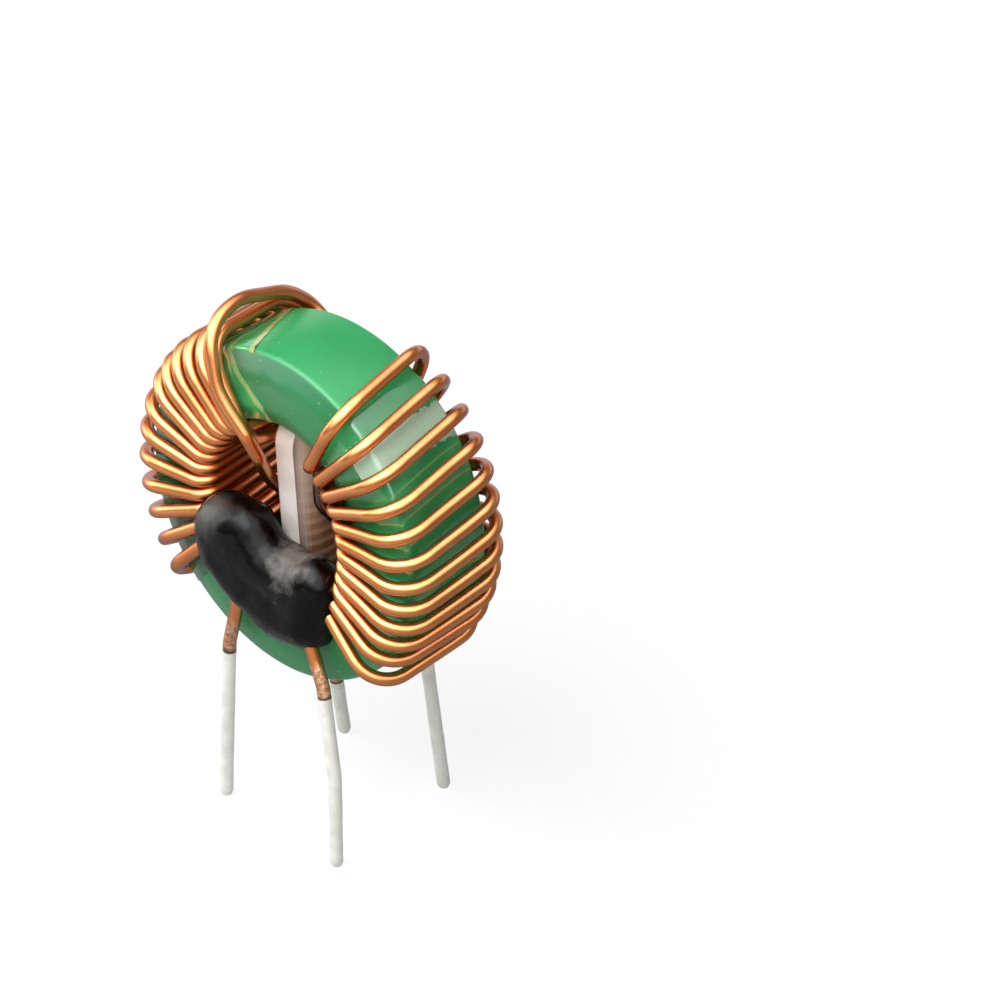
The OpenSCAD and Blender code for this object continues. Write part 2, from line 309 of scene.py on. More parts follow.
def uneven(piece: bpy.types.Object, size: float, height: float) -> None:
    """Lifts and sinks a piece's surface in soft lumps.

    Args:
        piece: The piece.
        size: Width of the lumps in millimetres.
        height: Height from the lowest to the highest in millimetres.
    """
    lumps = bpy.data.textures.new(piece.name + "_lumps", "CLOUDS")
    lumps.noise_scale = size * MM
    lumps.noise_depth = 2
    apply_modifier(piece, "DISPLACE", texture=lumps, strength=height * MM, mid_level=0.5,
                   texture_coords="LOCAL")


def dress(piece: bpy.types.Object, material: bpy.types.Material) -> None:
    """Gives a piece one material all over."""
    piece.data.materials.clear()
    piece.data.materials.append(material)


def put_in_place(piece: bpy.types.Object, node: str,
                 material: bpy.types.Material) -> None:
    """Dresses a piece and puts it in its node's place.

    Args:
        piece: The piece.
        node: The CAD node that it stands for.
        material: Its finish.
    """
    dress(piece, material)
    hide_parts(node)
    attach(piece, "root")
    log.info("%s: %d faces", piece.name, len(piece.data.polygons))


# ---------------------------------------------------------------- finishes


class Finish:
    """A finish: a principled surface with its pattern drawn in the piece's own millimetres."""

    name: ClassVar[str]

    def inputs(self, tree: bpy.types.NodeTree, at: bpy.types.Node) -> Dict[str, Any]:
        """Draws the finish.

        Args:
            tree: The material's tree.
            at: Object coordinates in millimetres.

        Returns:
            The principled shader's inputs.
        """
        raise NotImplementedError

    def material(self) -> bpy.types.Material:
        """Builds the material.

        Returns:
            The material.
        """
        material = bpy.data.materials.new(self.name)
        tree = emptied(material)
        shader = add_node(tree, "ShaderNodeBsdfPrincipled", self.inputs(tree, per_mm(tree)))
        add_node(tree, "ShaderNodeOutputMaterial", {"Surface": shader})
        return material


@dataclass(frozen=True)
class EpoxyCoating(Finish):
    """Green powder epoxy, sprayed and baked: satin, brightest round the rim, greyer on the faces.
    The chamfers are pale, thinly covered, with fine powder settled on them and a painted sheen, and
    the powder ran into a deeper band below them. Away from the top left the faces carry a painted
    shade."""

    name: ClassVar[str] = "baked_green_epoxy"
    centre: Vector
    band_r: float
    rim_r: float
    edge_y: float
    green: str = "#32AF66"
    deep: str = "#25A058"
    face: str = "#4F9A74"
    band: str = "#2A8450"
    # Pale chamfers: settled dust and a painted sheen
    chalk_and_sheen: str = "#61987A"
    # Painted shade on the faces away from the top left
    shade: str = "#2C8650"
    # Colour of the dust grains
    dust_and_highlight: str = "#B4DCC2"
    # Clouds some 6 mm wide, runs of powder 1.4 mm wide and orange peel of half a millimetre
    clouds_per_mm: float = 0.16
    runs_per_mm: float = 0.7
    run_shift: float = 0.5
    grains_per_mm: float = 1.0
    peel_per_mm: float = 2.2
    peel_depth: float = 0.02
    lit_side: Place = (-0.5, 0, 0.87)

    def on_faces(self, tree: bpy.types.NodeTree, at: bpy.types.Node) -> bpy.types.Node:
        """Tells the faces from the rim and the bore.

        Args:
            tree: The material's tree.
            at: Object coordinates in millimetres.

        Returns:
            1 on the two faces and their chamfers, 0 on the rim and in the bore.
        """
        y = add_node(tree, "ShaderNodeSeparateXYZ", {0: at}).outputs["Y"]
        off = add_node(tree, "ShaderNodeMath", {0: y}, operation="ABSOLUTE")
        return add_node(tree, "ShaderNodeMapRange",
                        {"Value": off, "From Min": self.edge_y - 0.05,
                         "From Max": self.edge_y + 0.12})

    def face_colour(self, tree: bpy.types.NodeTree, at: bpy.types.Node) -> bpy.types.Node:
        """Colours a face by its distance from the ring's axis, with a painted shade away from the top
        left.

        Args:
            tree: The material's tree.
            at: Object coordinates in millimetres.

        Returns:
            The colour.
        """
        offset = add_node(tree, "ShaderNodeVectorMath", {0: at, 1: self.centre},
                          operation="SUBTRACT")
        flat = add_node(tree, "ShaderNodeVectorMath", {0: offset, 1: (1, 0, 1)},
                        operation="MULTIPLY")
        radius = add_node(tree, "ShaderNodeVectorMath", {0: flat}, operation="LENGTH")
        run = add_node(tree, "ShaderNodeTexNoise",
                       {"Vector": at, "Scale": self.runs_per_mm, "Detail": 4.0})
        shift = add_node(tree, "ShaderNodeMapRange",
                         {"Value": run, "To Min": -self.run_shift, "To Max": self.run_shift})
        uneven_r = add_node(tree, "ShaderNodeMath", {0: radius, 1: shift}, operation="ADD")
        place = add_node(tree, "ShaderNodeMapRange",
                         {"Value": uneven_r, "From Min": self.band_r - 2.0,
                          "From Max": self.rim_r})
        face, band, chalk_and_sheen = linear(self.face), linear(self.band), linear(self.chalk_and_sheen)
        lit_tone = add_node(tree, "ShaderNodeValToRGB", {0: place},
                         [(0.0, face), (0.34, face), (0.44, band), (0.56, band), (0.68, chalk_and_sheen),
                          (1.0, chalk_and_sheen)])
        # Dust and a painted sheen sit where the ring is high and to the left of its top; elsewhere the
        # faces take a painted shade
        lean = along(tree, at, self.centre, self.lit_side)
        high = add_node(tree, "ShaderNodeMapRange",
                        {"Value": lean, "From Min": 7.0, "From Max": 12.2})
        return add_node(tree, "ShaderNodeMix", {0: high, "A": linear(self.shade), "B": lit_tone},
                        data_type="RGBA")

    def inputs(self, tree: bpy.types.NodeTree, at: bpy.types.Node) -> Dict[str, Any]:
        """Draws clouds of deeper green, the faces, dust grains and a little orange peel.

        Args:
            tree: The material's tree.
            at: Object coordinates in millimetres.

        Returns:
            The principled shader's inputs.
        """
        cloud = add_node(tree, "ShaderNodeTexNoise",
                         {"Vector": at, "Scale": self.clouds_per_mm, "Detail": 3.0})
        rim = add_node(tree, "ShaderNodeValToRGB", {0: cloud},
                       [(0.3, linear(self.deep)), (0.62, linear(self.green))])
        body = add_node(tree, "ShaderNodeMix",
                        {0: self.on_faces(tree, at), "A": rim, "B": self.face_colour(tree, at)},
                        data_type="RGBA")
        # Dust grains of about 0.15 mm, one every few millimetres
        grain = add_node(tree, "ShaderNodeTexVoronoi", {"Vector": at, "Scale": self.grains_per_mm})
        speck = add_node(tree, "ShaderNodeValToRGB", {0: grain.outputs["Distance"]},
                         [(0.03, grey(0.7)), (0.09, grey(0))])
        dusted = add_node(tree, "ShaderNodeMix", {0: speck, "A": body, "B": linear(self.dust_and_highlight)},
                          data_type="RGBA")
        peel = add_node(tree, "ShaderNodeTexNoise",
                        {"Vector": at, "Scale": self.peel_per_mm, "Detail": 4.0})
        rough = add_node(tree, "ShaderNodeMapRange", {"Value": peel, "To Min": 0.3, "To Max": 0.46})
        bump = add_node(tree, "ShaderNodeBump",
                        {"Height": peel, "Strength": 0.25, "Distance": self.peel_depth * MM})
        return {"Base Color": dusted, "Roughness": rough, "Normal": bump, "IOR": 1.5,
                "Coat Weight": 0.15, "Coat Roughness": 0.3}


@dataclass(frozen=True)
class TapeLine:
    """A cut edge in the tape, as the plane that draws it, from the ring's centre, in millimetres.
    It shows between its lowest and its highest y."""

    normal: Vector
    offset: float
    width: float
    strength: float
    lowest_y: float
    highest_y: float


@dataclass(frozen=True)
class PaintedGlint:
    """A painted reflection on the film between two turns: its angle round the ring and half its width.
    """

    angle: float
    half: float


@dataclass(frozen=True)
class PolyesterTape(Finish):
    """Clear polyester film wound tightly on the green epoxy, whose colour shows through, wet and
    deeper. The cut edges catch the light as straw-coloured lines."""

    name: ClassVar[str] = "clear_polyester_film"
    centre: Vector
    lines: Tuple[TapeLine, ...]
    glint: Optional[PaintedGlint] = None
    shaded_from: Optional[float] = None
    seen_green: str = "#4CC47C"
    deep: str = "#39AA65"
    straw: str = "#D2CB84"
    # Painted reflection between two turns, pale mint
    glint_colour: str = "#C8FFE4"
    under: str = "#17663A"
    # The hand-cut edges swing by 0.16 mm, the painted reflection has jags of 0.4 mm, and the film
    # wrinkles about once a millimetre
    clouds_per_mm: float = 0.3
    rags_per_mm: float = 1.6
    rag: float = 0.16
    cracks_per_mm: float = 2.6
    crack: float = 0.6
    rim_from: float = 11.0
    wrinkles_per_mm: float = 0.9
    wrinkle_depth: float = 0.04

    def line_mask(self, tree: bpy.types.NodeTree, at: bpy.types.Node,
                  line: TapeLine) -> bpy.types.Node:
        """Draws one ragged line.

        Args:
            tree: The material's tree.
            at: Object coordinates in millimetres.
            line: The line.

        Returns:
            The line's strength on it, 0 beside it.
        """
        across = along(tree, at, self.centre, line.normal)
        rags = add_node(tree, "ShaderNodeTexNoise",
                        {"Vector": at, "Scale": self.rags_per_mm, "Detail": 3.0})
        swing = add_node(tree, "ShaderNodeMapRange",
                         {"Value": rags, "To Min": line.offset - self.rag,
                          "To Max": line.offset + self.rag})
        off = add_node(tree, "ShaderNodeMath", {0: across, 1: swing}, operation="SUBTRACT")
        near = add_node(tree, "ShaderNodeMath", {0: off}, operation="ABSOLUTE")
        mask = add_node(tree, "ShaderNodeMapRange",
                        {"Value": near, "From Min": line.width * 0.3, "From Max": line.width * 0.7,
                         "To Min": line.strength, "To Max": 0.0})
        y = add_node(tree, "ShaderNodeSeparateXYZ", {0: at}).outputs["Y"]
        inside = add_node(tree, "ShaderNodeMath",
                          {0: y, 1: (line.lowest_y + line.highest_y) / 2,
                           2: (line.highest_y - line.lowest_y) / 2}, operation="COMPARE")
        return add_node(tree, "ShaderNodeMath", {0: mask, 1: inside}, operation="MULTIPLY")

    def glint_mask(self, tree: bpy.types.NodeTree, at: bpy.types.Node, glint: PaintedGlint) -> bpy.types.Node:
        """Marks a painted reflection, pale and silvery, on the film between two turns.

        Args:
            tree: The material's tree.
            at: Object coordinates in millimetres.
            glint: The place.

        Returns:
            Nearly 1 on the painted reflection, 0 elsewhere.
        """
        cracks = add_node(tree, "ShaderNodeTexNoise",
                          {"Vector": at, "Scale": self.cracks_per_mm, "Detail": 4.0,
                           "Roughness": 0.7})
        jag = add_node(tree, "ShaderNodeMapRange",
                       {"Value": cracks, "To Min": -self.crack, "To Max": self.crack})
        off = add_node(tree, "ShaderNodeMath", {0: along(tree, at, self.centre, onward(glint.angle))},
                       operation="ABSOLUTE")
        jagged = add_node(tree, "ShaderNodeMath", {0: off, 1: jag}, operation="ADD")
        near = add_node(tree, "ShaderNodeMapRange",
                        {"Value": jagged, "From Min": glint.half - 0.08,
                         "From Max": glint.half + 0.08, "To Min": 0.96, "To Max": 0.0})
        on_rim = add_node(tree, "ShaderNodeMath",
                          {0: along(tree, at, self.centre, outward(glint.angle)), 1: self.rim_from},
                          operation="GREATER_THAN")
        return add_node(tree, "ShaderNodeMath", {0: near, 1: on_rim}, operation="MULTIPLY")

    def inputs(self, tree: bpy.types.NodeTree, at: bpy.types.Node) -> Dict[str, Any]:
        """Draws the green below, its painted shade under the turns, the cut edges and the painted
        reflection.

        Args:
            tree: The material's tree.
            at: Object coordinates in millimetres.

        Returns:
            The principled shader's inputs.
        """
        cloud = add_node(tree, "ShaderNodeTexNoise",
                         {"Vector": at, "Scale": self.clouds_per_mm, "Detail": 3.0})
        colour = add_node(tree, "ShaderNodeValToRGB", {0: cloud},
                          [(0.35, linear(self.deep)), (0.6, linear(self.seen_green))])
        over = [(self.line_mask(tree, at, line), self.straw) for line in self.lines]
        if self.shaded_from is not None:
            # Under the turns the film lies in their shade
            depth = along(tree, at, self.centre, self.lines[0].normal)
            hidden = add_node(tree, "ShaderNodeMapRange",
                              {"Value": depth, "From Min": self.shaded_from,
                               "From Max": self.shaded_from + 1.0})
            over.insert(0, (hidden, self.under))
        # A painted reflection between two turns
        if self.glint:
            over.append((self.glint_mask(tree, at, self.glint), self.glint_colour))
        for mask, tone in over:
            colour = add_node(tree, "ShaderNodeMix", {0: mask, "A": colour, "B": linear(tone)},
                              data_type="RGBA")
        wrinkle = add_node(tree, "ShaderNodeTexNoise",
                           {"Vector": at, "Scale": self.wrinkles_per_mm, "Detail": 2.0})
        bump = add_node(tree, "ShaderNodeBump",
                        {"Height": wrinkle, "Strength": 0.3, "Distance": self.wrinkle_depth * MM})
        return {"Base Color": colour, "Roughness": 0.1, "Normal": bump, "IOR": 1.64}


@dataclass(frozen=True)
class EnamelledCopper(Finish):
    """Magnet wire: drawn copper under clear polyurethane enamel, golden and polished. Where the
    enamel is scraped off for soldering the copper is rough and pink, and burnt at the tin."""

    name: ClassVar[str] = "enamelled_copper_wire"
    copper: str = "#F0964A"
    deep: str = "#E68238"
    scraped: str = "#F0BC94"
    filed: str = "#BE8052"
    burnt: str = "#3B2416"
    # Painted shade: dark brown laid on the strand that climbs through the bore, where it lies in
    # shadow
    painted_shade: str = "#2A150B"
    at_grazing: str = "#4E1004"
    # The scraper's marks are about 0.1 mm apart and are drawn three times as wide, so that they
    # show
    clouds_per_mm: float = 0.35
    grit_per_mm: float = 3.5
    grit_depth: float = 0.12

    def inputs(self, tree: bpy.types.NodeTree, at: bpy.types.Node) -> Dict[str, Any]:
        """Draws the copper through its enamel, and over it what the wire has been through and a
        painted shade.

        Args:
            tree: The material's tree.
            at: Object coordinates in millimetres.

        Returns:
            The principled shader's inputs.
        """
        cloud = add_node(tree, "ShaderNodeTexNoise",
                         {"Vector": at, "Scale": self.clouds_per_mm, "Detail": 3.0})
        colour = add_node(tree, "ShaderNodeValToRGB", {0: cloud},
                          [(0.3, linear(self.deep)), (0.65, linear(self.copper))])
        grit = add_node(tree, "ShaderNodeTexNoise",
                        {"Vector": at, "Scale": self.grit_per_mm, "Detail": 5.0})
        filed = add_node(tree, "ShaderNodeValToRGB", {0: grit},
                         [(0.36, linear(self.filed)), (0.6, linear(self.scraped))])
        wear_and_shade = {wear: add_node(tree, "ShaderNodeAttribute",
                               attribute_name=wear.value).outputs["Fac"] for wear in WearAndShade}
        # Scraping and burning are wear; the last mark is painted shade on the climbing strand
        for wear, over in ((WearAndShade.SCRAPED, filed), (WearAndShade.BURNT, linear(self.burnt)),
                           (WearAndShade.PAINTED_SHADE, linear(self.painted_shade))):
            colour = add_node(tree, "ShaderNodeMix", {0: wear_and_shade[wear], "A": colour, "B": over},
                              data_type="RGBA")
        rough = add_node(tree, "ShaderNodeMapRange",
                         {"Value": wear_and_shade[WearAndShade.SCRAPED], "To Min": 0.34, "To Max": 0.5})
        bared_grit = add_node(tree, "ShaderNodeMath", {0: grit, 1: wear_and_shade[WearAndShade.SCRAPED]},
                              operation="MULTIPLY")
        bump = add_node(tree, "ShaderNodeBump",
                        {"Height": bared_grit, "Strength": 0.8, "Distance": self.grit_depth * MM})
        # The enamel's longer path at grazing angles darkens the wire's outline
        return {"Base Color": colour, "Roughness": rough, "Normal": bump, "Metallic": 1.0,
                "Specular Tint": linear(self.at_grazing), "Coat Weight": 0.85,
                "Coat Roughness": 0.2, "Coat IOR": 1.75}


@dataclass(frozen=True)
class SolderTin(Finish):
    """Tin from a solder bath: pale, satin, a little lumpy where it froze."""

    name: ClassVar[str] = "dipped_solder_tin"
    tin: str = "#FFFEF8"
    dull: str = "#EFEEE6"
    # Frozen lumps a little over a millimetre wide
    lumps_per_mm: float = 0.8
    lump_depth: float = 0.1

    def inputs(self, tree: bpy.types.NodeTree, at: bpy.types.Node) -> Dict[str, Any]:
        """Draws duller and rougher lumps.

        Args:
            tree: The material's tree.
            at: Object coordinates in millimetres.

        Returns:
            The principled shader's inputs.
        """
        lump = add_node(tree, "ShaderNodeTexNoise",
                        {"Vector": at, "Scale": self.lumps_per_mm, "Detail": 4.0})
        body = add_node(tree, "ShaderNodeValToRGB", {0: lump},
                        [(0.3, linear(self.dull)), (0.6, linear(self.tin))])
        rough = add_node(tree, "ShaderNodeMapRange", {"Value": lump, "To Min": 0.28, "To Max": 0.5})
        bump = add_node(tree, "ShaderNodeBump",
                        {"Height": lump, "Strength": 0.4, "Distance": self.lump_depth * MM})
        return {"Base Color": body, "Roughness": rough, "Normal": bump, "Metallic": 0.2}


@dataclass(frozen=True)
class BlackAdhesive(Finish):
    """Black silicone squeezed on by hand: satin, with a skin that dried a little wrinkled. A painted
    highlight lies on top of one lobe, and a pale patch against the divider's foot is a whitish film
    with a painted sheen."""

    name: ClassVar[str] = "black_silicone"
    black: str = "#040404"
    # Pale patch at the divider's foot: a whitish bloom with a painted sheen
    bloom_and_sheen: str = "#8E8B83"
    # Painted highlight on top of the left lobe
    lit_tone: str = "#5A5A56"
    sheen_at: Place = (2.8, -5.0, 22.3)
    highlight_at: Place = (-4.8, -5.7, 23.8)
    # Duller patches 2 mm wide, wrinkles of 0.4 mm in the skin, and a pale patch of bloom and painted
    # sheen ragged to 1 mm
    patches_per_mm: float = 0.45
    wrinkles_per_mm: float = 2.6
    wrinkle_depth: float = 0.06
    patch_rags_per_mm: float = 1.1

    def inputs(self, tree: bpy.types.NodeTree, at: bpy.types.Node) -> Dict[str, Any]:
        """Draws the wrinkled skin, the pale patch with its painted sheen, and the painted highlight on
        one lobe.

        Args:
            tree: The material's tree.
            at: Object coordinates in millimetres.

        Returns:
            The principled shader's inputs.
        """
        patch = add_node(tree, "ShaderNodeTexNoise",
                         {"Vector": at, "Scale": self.patches_per_mm, "Detail": 4.0})
        rough = add_node(tree, "ShaderNodeMapRange",
                         {"Value": patch, "From Min": 0.35, "From Max": 0.65, "To Min": 0.22,
                          "To Max": 0.34})
        skin = add_node(tree, "ShaderNodeTexNoise",
                        {"Vector": at, "Scale": self.wrinkles_per_mm, "Detail": 5.0})
        bump = add_node(tree, "ShaderNodeBump",
                        {"Height": skin, "Strength": 0.25, "Distance": self.wrinkle_depth * MM})
        # Pale patch by the divider's foot, partly a painted sheen
        reach = add_node(tree, "ShaderNodeVectorMath", {0: at, 1: self.sheen_at},
                         operation="DISTANCE")
        painted_patch = add_node(tree, "ShaderNodeTexNoise",
                         {"Vector": at, "Scale": self.patch_rags_per_mm, "Detail": 5.0})
        ragged = add_node(tree, "ShaderNodeMath", {0: painted_patch, 1: -3.0, 2: reach},
                          operation="MULTIPLY_ADD")
        pale = add_node(tree, "ShaderNodeMapRange",
                        {"Value": ragged, "From Min": -0.2, "From Max": 0.9, "To Min": 0.55,
                         "To Max": 0.0})
        # Painted highlight on the left lobe
        beyond = add_node(tree, "ShaderNodeVectorMath", {0: at, 1: self.highlight_at},
                          operation="DISTANCE")
        dust_and_highlight = add_node(tree, "ShaderNodeMapRange",
                        {"Value": beyond, "From Min": 0.3, "From Max": 2.2, "To Min": 0.8,
                         "To Max": 0.0}, interpolation_type="SMOOTHSTEP")
        colour = linear(self.black)
        for mask, tone in ((pale, self.bloom_and_sheen), (dust_and_highlight, self.lit_tone)):
            colour = add_node(tree, "ShaderNodeMix", {0: mask, "A": colour, "B": linear(tone)},
                              data_type="RGBA")
        return {"Base Color": colour, "Roughness": rough, "Normal": bump, "IOR": 1.28}


@dataclass(frozen=True)
class DividerBoard(Finish):
    """Milky moulded nylon: matte, a little translucent, with faint ribs across its sides. Their warm
    beige is a painted reflection of the copper, and a painted shade browns them toward the foot."""

    name: ClassVar[str] = "milky_nylon"
    centre: Vector
    lean: float
    milk: str = "#F2ECE6"
    shade: str = "#E4DAD0"
    # Painted reflection of the copper on the sides
    side: str = "#F2D2B4"
    # Painted shade on the sides toward the foot
    low: str = "#7E644C"
    rib: str = "#EBDCCB"
    clouds_per_mm: float = 0.5
    # The wave has 20 / (2 pi) bands to a unit, so this scale sets the moulded ribs 0.9 mm apart
    rib_scale: float = 0.36
    rib_height: float = 0.05
    glow_depth: float = 1.2

    def inputs(self, tree: bpy.types.NodeTree, at: bpy.types.Node) -> Dict[str, Any]:
        """Draws the milky front and the ribbed sides with their painted reflection and shade.

        Args:
            tree: The material's tree.
            at: Object coordinates in millimetres.

        Returns:
            The principled shader's inputs.
        """
        cloud = add_node(tree, "ShaderNodeTexNoise",
                         {"Vector": at, "Scale": self.clouds_per_mm, "Detail": 2.0})
        body = add_node(tree, "ShaderNodeValToRGB", {0: cloud},
                        [(0.35, linear(self.shade)), (0.65, linear(self.milk))])
        a = math.radians(self.lean)
        faces = add_node(tree, "ShaderNodeNewGeometry").outputs["True Normal"]
        across = add_node(tree, "ShaderNodeVectorMath", {0: faces, 1: (math.cos(a), 0, math.sin(a))},
                          operation="DOT_PRODUCT")
        off = add_node(tree, "ShaderNodeMath", {0: across}, operation="ABSOLUTE")
        on_side = add_node(tree, "ShaderNodeMapRange",
                           {"Value": off, "From Min": 0.6, "From Max": 0.9})
        # Painted shade: the sides go from a painted warm reflection at the top to brown toward the
        # foot
        tall = add_node(tree, "ShaderNodeMapRange",
                        {"Value": along(tree, at, self.centre, (0, 0, 1)), "From Min": -3.0,
                         "From Max": 5.0})
        wall = add_node(tree, "ShaderNodeValToRGB", {0: tall},
                        [(0.0, linear(self.low)), (1.0, linear(self.side))])
        # The ribs run across the sides
        ribs = add_node(tree, "ShaderNodeTexWave",
                        {"Vector": at, "Scale": self.rib_scale, "Distortion": 0.2},
                        bands_direction="Z").outputs["Fac"]
        rib = add_node(tree, "ShaderNodeValToRGB", {0: ribs}, [(0.4, grey(0.0)), (0.8, grey(0.3))])
        ribbed = add_node(tree, "ShaderNodeMix", {0: rib, "A": wall, "B": linear(self.rib)},
                          data_type="RGBA")
        colour = add_node(tree, "ShaderNodeMix", {0: on_side, "A": body, "B": ribbed},
                          data_type="RGBA")
        raised = add_node(tree, "ShaderNodeMath", {0: ribs, 1: on_side}, operation="MULTIPLY")
        bump = add_node(tree, "ShaderNodeBump",
                        {"Height": raised, "Strength": 0.3, "Distance": self.rib_height * MM})
        return {"Base Color": colour, "Roughness": 0.45, "Normal": bump, "IOR": 1.53,
                "Subsurface Weight": 0.1, "Subsurface Radius": (1.0, 0.9, 0.8),
                "Subsurface Scale": self.glow_depth * MM}


@dataclass(frozen=True)
class Ferrite(Finish):
    """Sintered ferrite: dark, dry and finely grained. It is sealed inside the coating."""

    name: ClassVar[str] = "sintered_ferrite"
    dark: str = "#2B2A2C"
    light: str = "#3C3B3D"
    # The grain is a few hundredths of a millimetre and is drawn coarser, so that it shows
    grains_per_mm: float = 6.0

    def inputs(self, tree: bpy.types.NodeTree, at: bpy.types.Node) -> Dict[str, Any]:
        """Draws the grain.

        Args:
            tree: The material's tree.
            at: Object coordinates in millimetres.

        Returns:
            The principled shader's inputs.
        """
        grain = add_node(tree, "ShaderNodeTexNoise", {"Vector": at, "Scale": self.grains_per_mm})
        body = add_node(tree, "ShaderNodeValToRGB", {0: grain},
                        [(0.4, linear(self.dark)), (0.6, linear(self.light))])
        return {"Base Color": body, "Roughness": 0.75}


# ---------------------------------------------------------------- ring


@dataclass(frozen=True)
class RingSize:
    """Sizes of the coated ring, of the wire and of the leads' bends, as in the CAD model."""

    # The ferrite, its chamfers and what lies on it
    core_od: float = 25.0
    core_id: float = 15.0
    core_h: float = 8.0
    rim_chamfer: float = 1.8
    bore_chamfer: float = 1.3
    chamfer_axial: float = 0.6
    coating_t: float = 0.25
    tape_t: float = 0.06
    # Rim above the leads' tips, then the wire and its tin
    lead_drop: float = 12.25
    wire_d: float = 1.0
    bare_d: float = 0.88
    tin_d: float = 0.96
    tin_cover: float = 0.08
    tip_cover: float = 0.5
    # How far the wire stands off the tape, and how far it stands up at the rim's edges
    bore_gap: float = 0.02
    face_gap: float = 0.06
    rim_gap: float = 0.08
    corner_lift: float = 0.4
    # How wide a lead bends, and the wire's neck and first bend above the tin
    lead_bend: float = 2.0
    neck: float = 0.05
    rise: float = 0.8
    rise_bend: float = 1.5

    @property
    def rim_r(self) -> float:
        """Radius of the coated rim."""
        return self.core_od / 2 + self.coating_t

    @property
    def bore_r(self) -> float:
        """Radius of the coated bore."""
        return self.core_id / 2 - self.coating_t

    @property
    def face_y(self) -> float:
        """Distance of the coated face from the ring's middle."""
        return self.core_h / 2 + self.coating_t

    @property
    def ring_z(self) -> float:
        """Height of the ring's centre."""
        return self.lead_drop + self.rim_r

    @property
    def centre(self) -> Vector:
        """The ring's centre."""
        return Vector((0, 0, self.ring_z))

    @property
    def bottom(self) -> float:
        """Height of the bore's lowest point."""
        return self.ring_z - self.bore_r

    @property
    def top(self) -> float:
        """Height of the bore's highest point."""
        return self.ring_z + self.bore_r

    @property
    def wire_r(self) -> float:
        """Radius of the enamelled wire."""
        return self.wire_d / 2

    @property
    def bore_wire(self) -> float:
        """Distance of a strand in the bore from the ring's axis."""
        return self.bore_r - self.tape_t - self.bore_gap - self.wire_r

    @property
    def face_wire(self) -> float:
        """Distance of a strand on a face from the ring's middle."""
        return self.face_y + self.tape_t + self.face_gap + self.wire_r

    @property
    def rim_wire(self) -> float:
        """Distance of a strand on the rim from the ring's axis."""
        return self.rim_r + self.tape_t + self.rim_gap + self.wire_r

    @property
    def corner_rho(self) -> float:
        """Distance from the ring's axis at which the stiff wire turns over the rim's edges."""
        return self.rim_wire + self.corner_lift

    @property
    def corner_y(self) -> float:
        """Distance from the ring's middle at which it does."""
        return self.face_wire + self.corner_lift

    def at(self, rho: float, angle: float, y: float) -> Vector:
        """A point at a radius and an angle round the ring's axis, at y along it."""
        a = math.radians(angle)
        return Vector((rho * math.cos(a), y, self.ring_z + rho * math.sin(a)))

    def beside(self, side: Side, x: float, out: float, z: float) -> Vector:
        """A point beside one face, out from it."""
        return Vector((x, side.value * (self.face_y + out), z))

    def section(self, grow: float) -> List[Tuple[float, float]]:
        """Gives the ring's eight-cornered section.

        Args:
            grow: How far it is grown over the bare ferrite.

        Returns:
            Radius and y of each corner.
        """
        inner = self.core_id / 2 - grow
        outer = self.core_od / 2 + grow
        half = self.core_h / 2 + grow
        a = half - self.chamfer_axial
        return [(inner, -a), (inner + self.bore_chamfer, -half), (outer - self.rim_chamfer, -half),
                (outer, -a), (outer, a), (outer - self.rim_chamfer, half),
                (inner + self.bore_chamfer, half), (inner, a)]


@dataclass
class CoatedRing:
    """The ferrite ring and the green coating baked round it."""

    size: RingSize
    edge_round: float = 0.3
    round_steps: int = 4
    turn_steps: int = 240
    weld: float = 0.002
    crease: float = 40.0
    lump_size: float = 3.0
    lump_height: float = 0.03

    def swept(self, name: str, grow: float, first: float, last: float,
              steps: int) -> bpy.types.Object:
        """Sweeps the ring's section, with rounded corners, round its axis.

        Args:
            name: The piece's name.
            grow: How far the section is grown over the bare ferrite.
            first: Angle where the sweep starts, in degrees.
            last: Angle where it ends. A full turn from the first closes the ring.
            steps: Number of steps of the sweep.

        Returns:
            The piece.
        """
        s = self.size
        corners = s.section(grow)
        bpy.ops.object.select_all(action="DESELECT")
        bpy.ops.mesh.primitive_circle_add(vertices=len(corners), radius=MM, fill_type="NOTHING")
        piece = bpy.context.object
        piece.name = name
        for vertex, (radius, y) in zip(piece.data.vertices, corners):
            vertex.co = s.at(radius, first, y) * MM
        with editing(piece):
            bpy.ops.mesh.bevel(offset=self.edge_round * MM, segments=self.round_steps,
                               affect="VERTICES")
            if last - first < 360:
                bpy.ops.mesh.edge_face_add()
            bpy.ops.mesh.select_all(action="SELECT")
            bpy.ops.mesh.spin(steps=steps, angle=math.radians(last - first),
                              center=(0, 0, s.ring_z * MM), axis=(0, 1, 0))
            bpy.ops.mesh.select_all(action="SELECT")
            bpy.ops.mesh.remove_doubles(threshold=self.weld * MM)
            bpy.ops.mesh.normals_make_consistent(inside=False)
        return piece

    def build(self) -> None:
        """Builds the coating, closed, with its inner wall left to the ferrite, and dresses both."""
        s = self.size
        skin = self.swept("core_coating_skin", s.coating_t, 0, 360, self.turn_steps)
        uneven(skin, self.lump_size, self.lump_height)
        smooth(skin, self.crease)
        finish = EpoxyCoating(s.centre, s.rim_r - s.rim_chamfer, s.rim_r, s.face_y - s.chamfer_axial)
        put_in_place(skin, "core_coating", finish.material())
        dress(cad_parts["ferrite_core"], Ferrite().material())
        log.info("ferrite_core: kept from the frame")


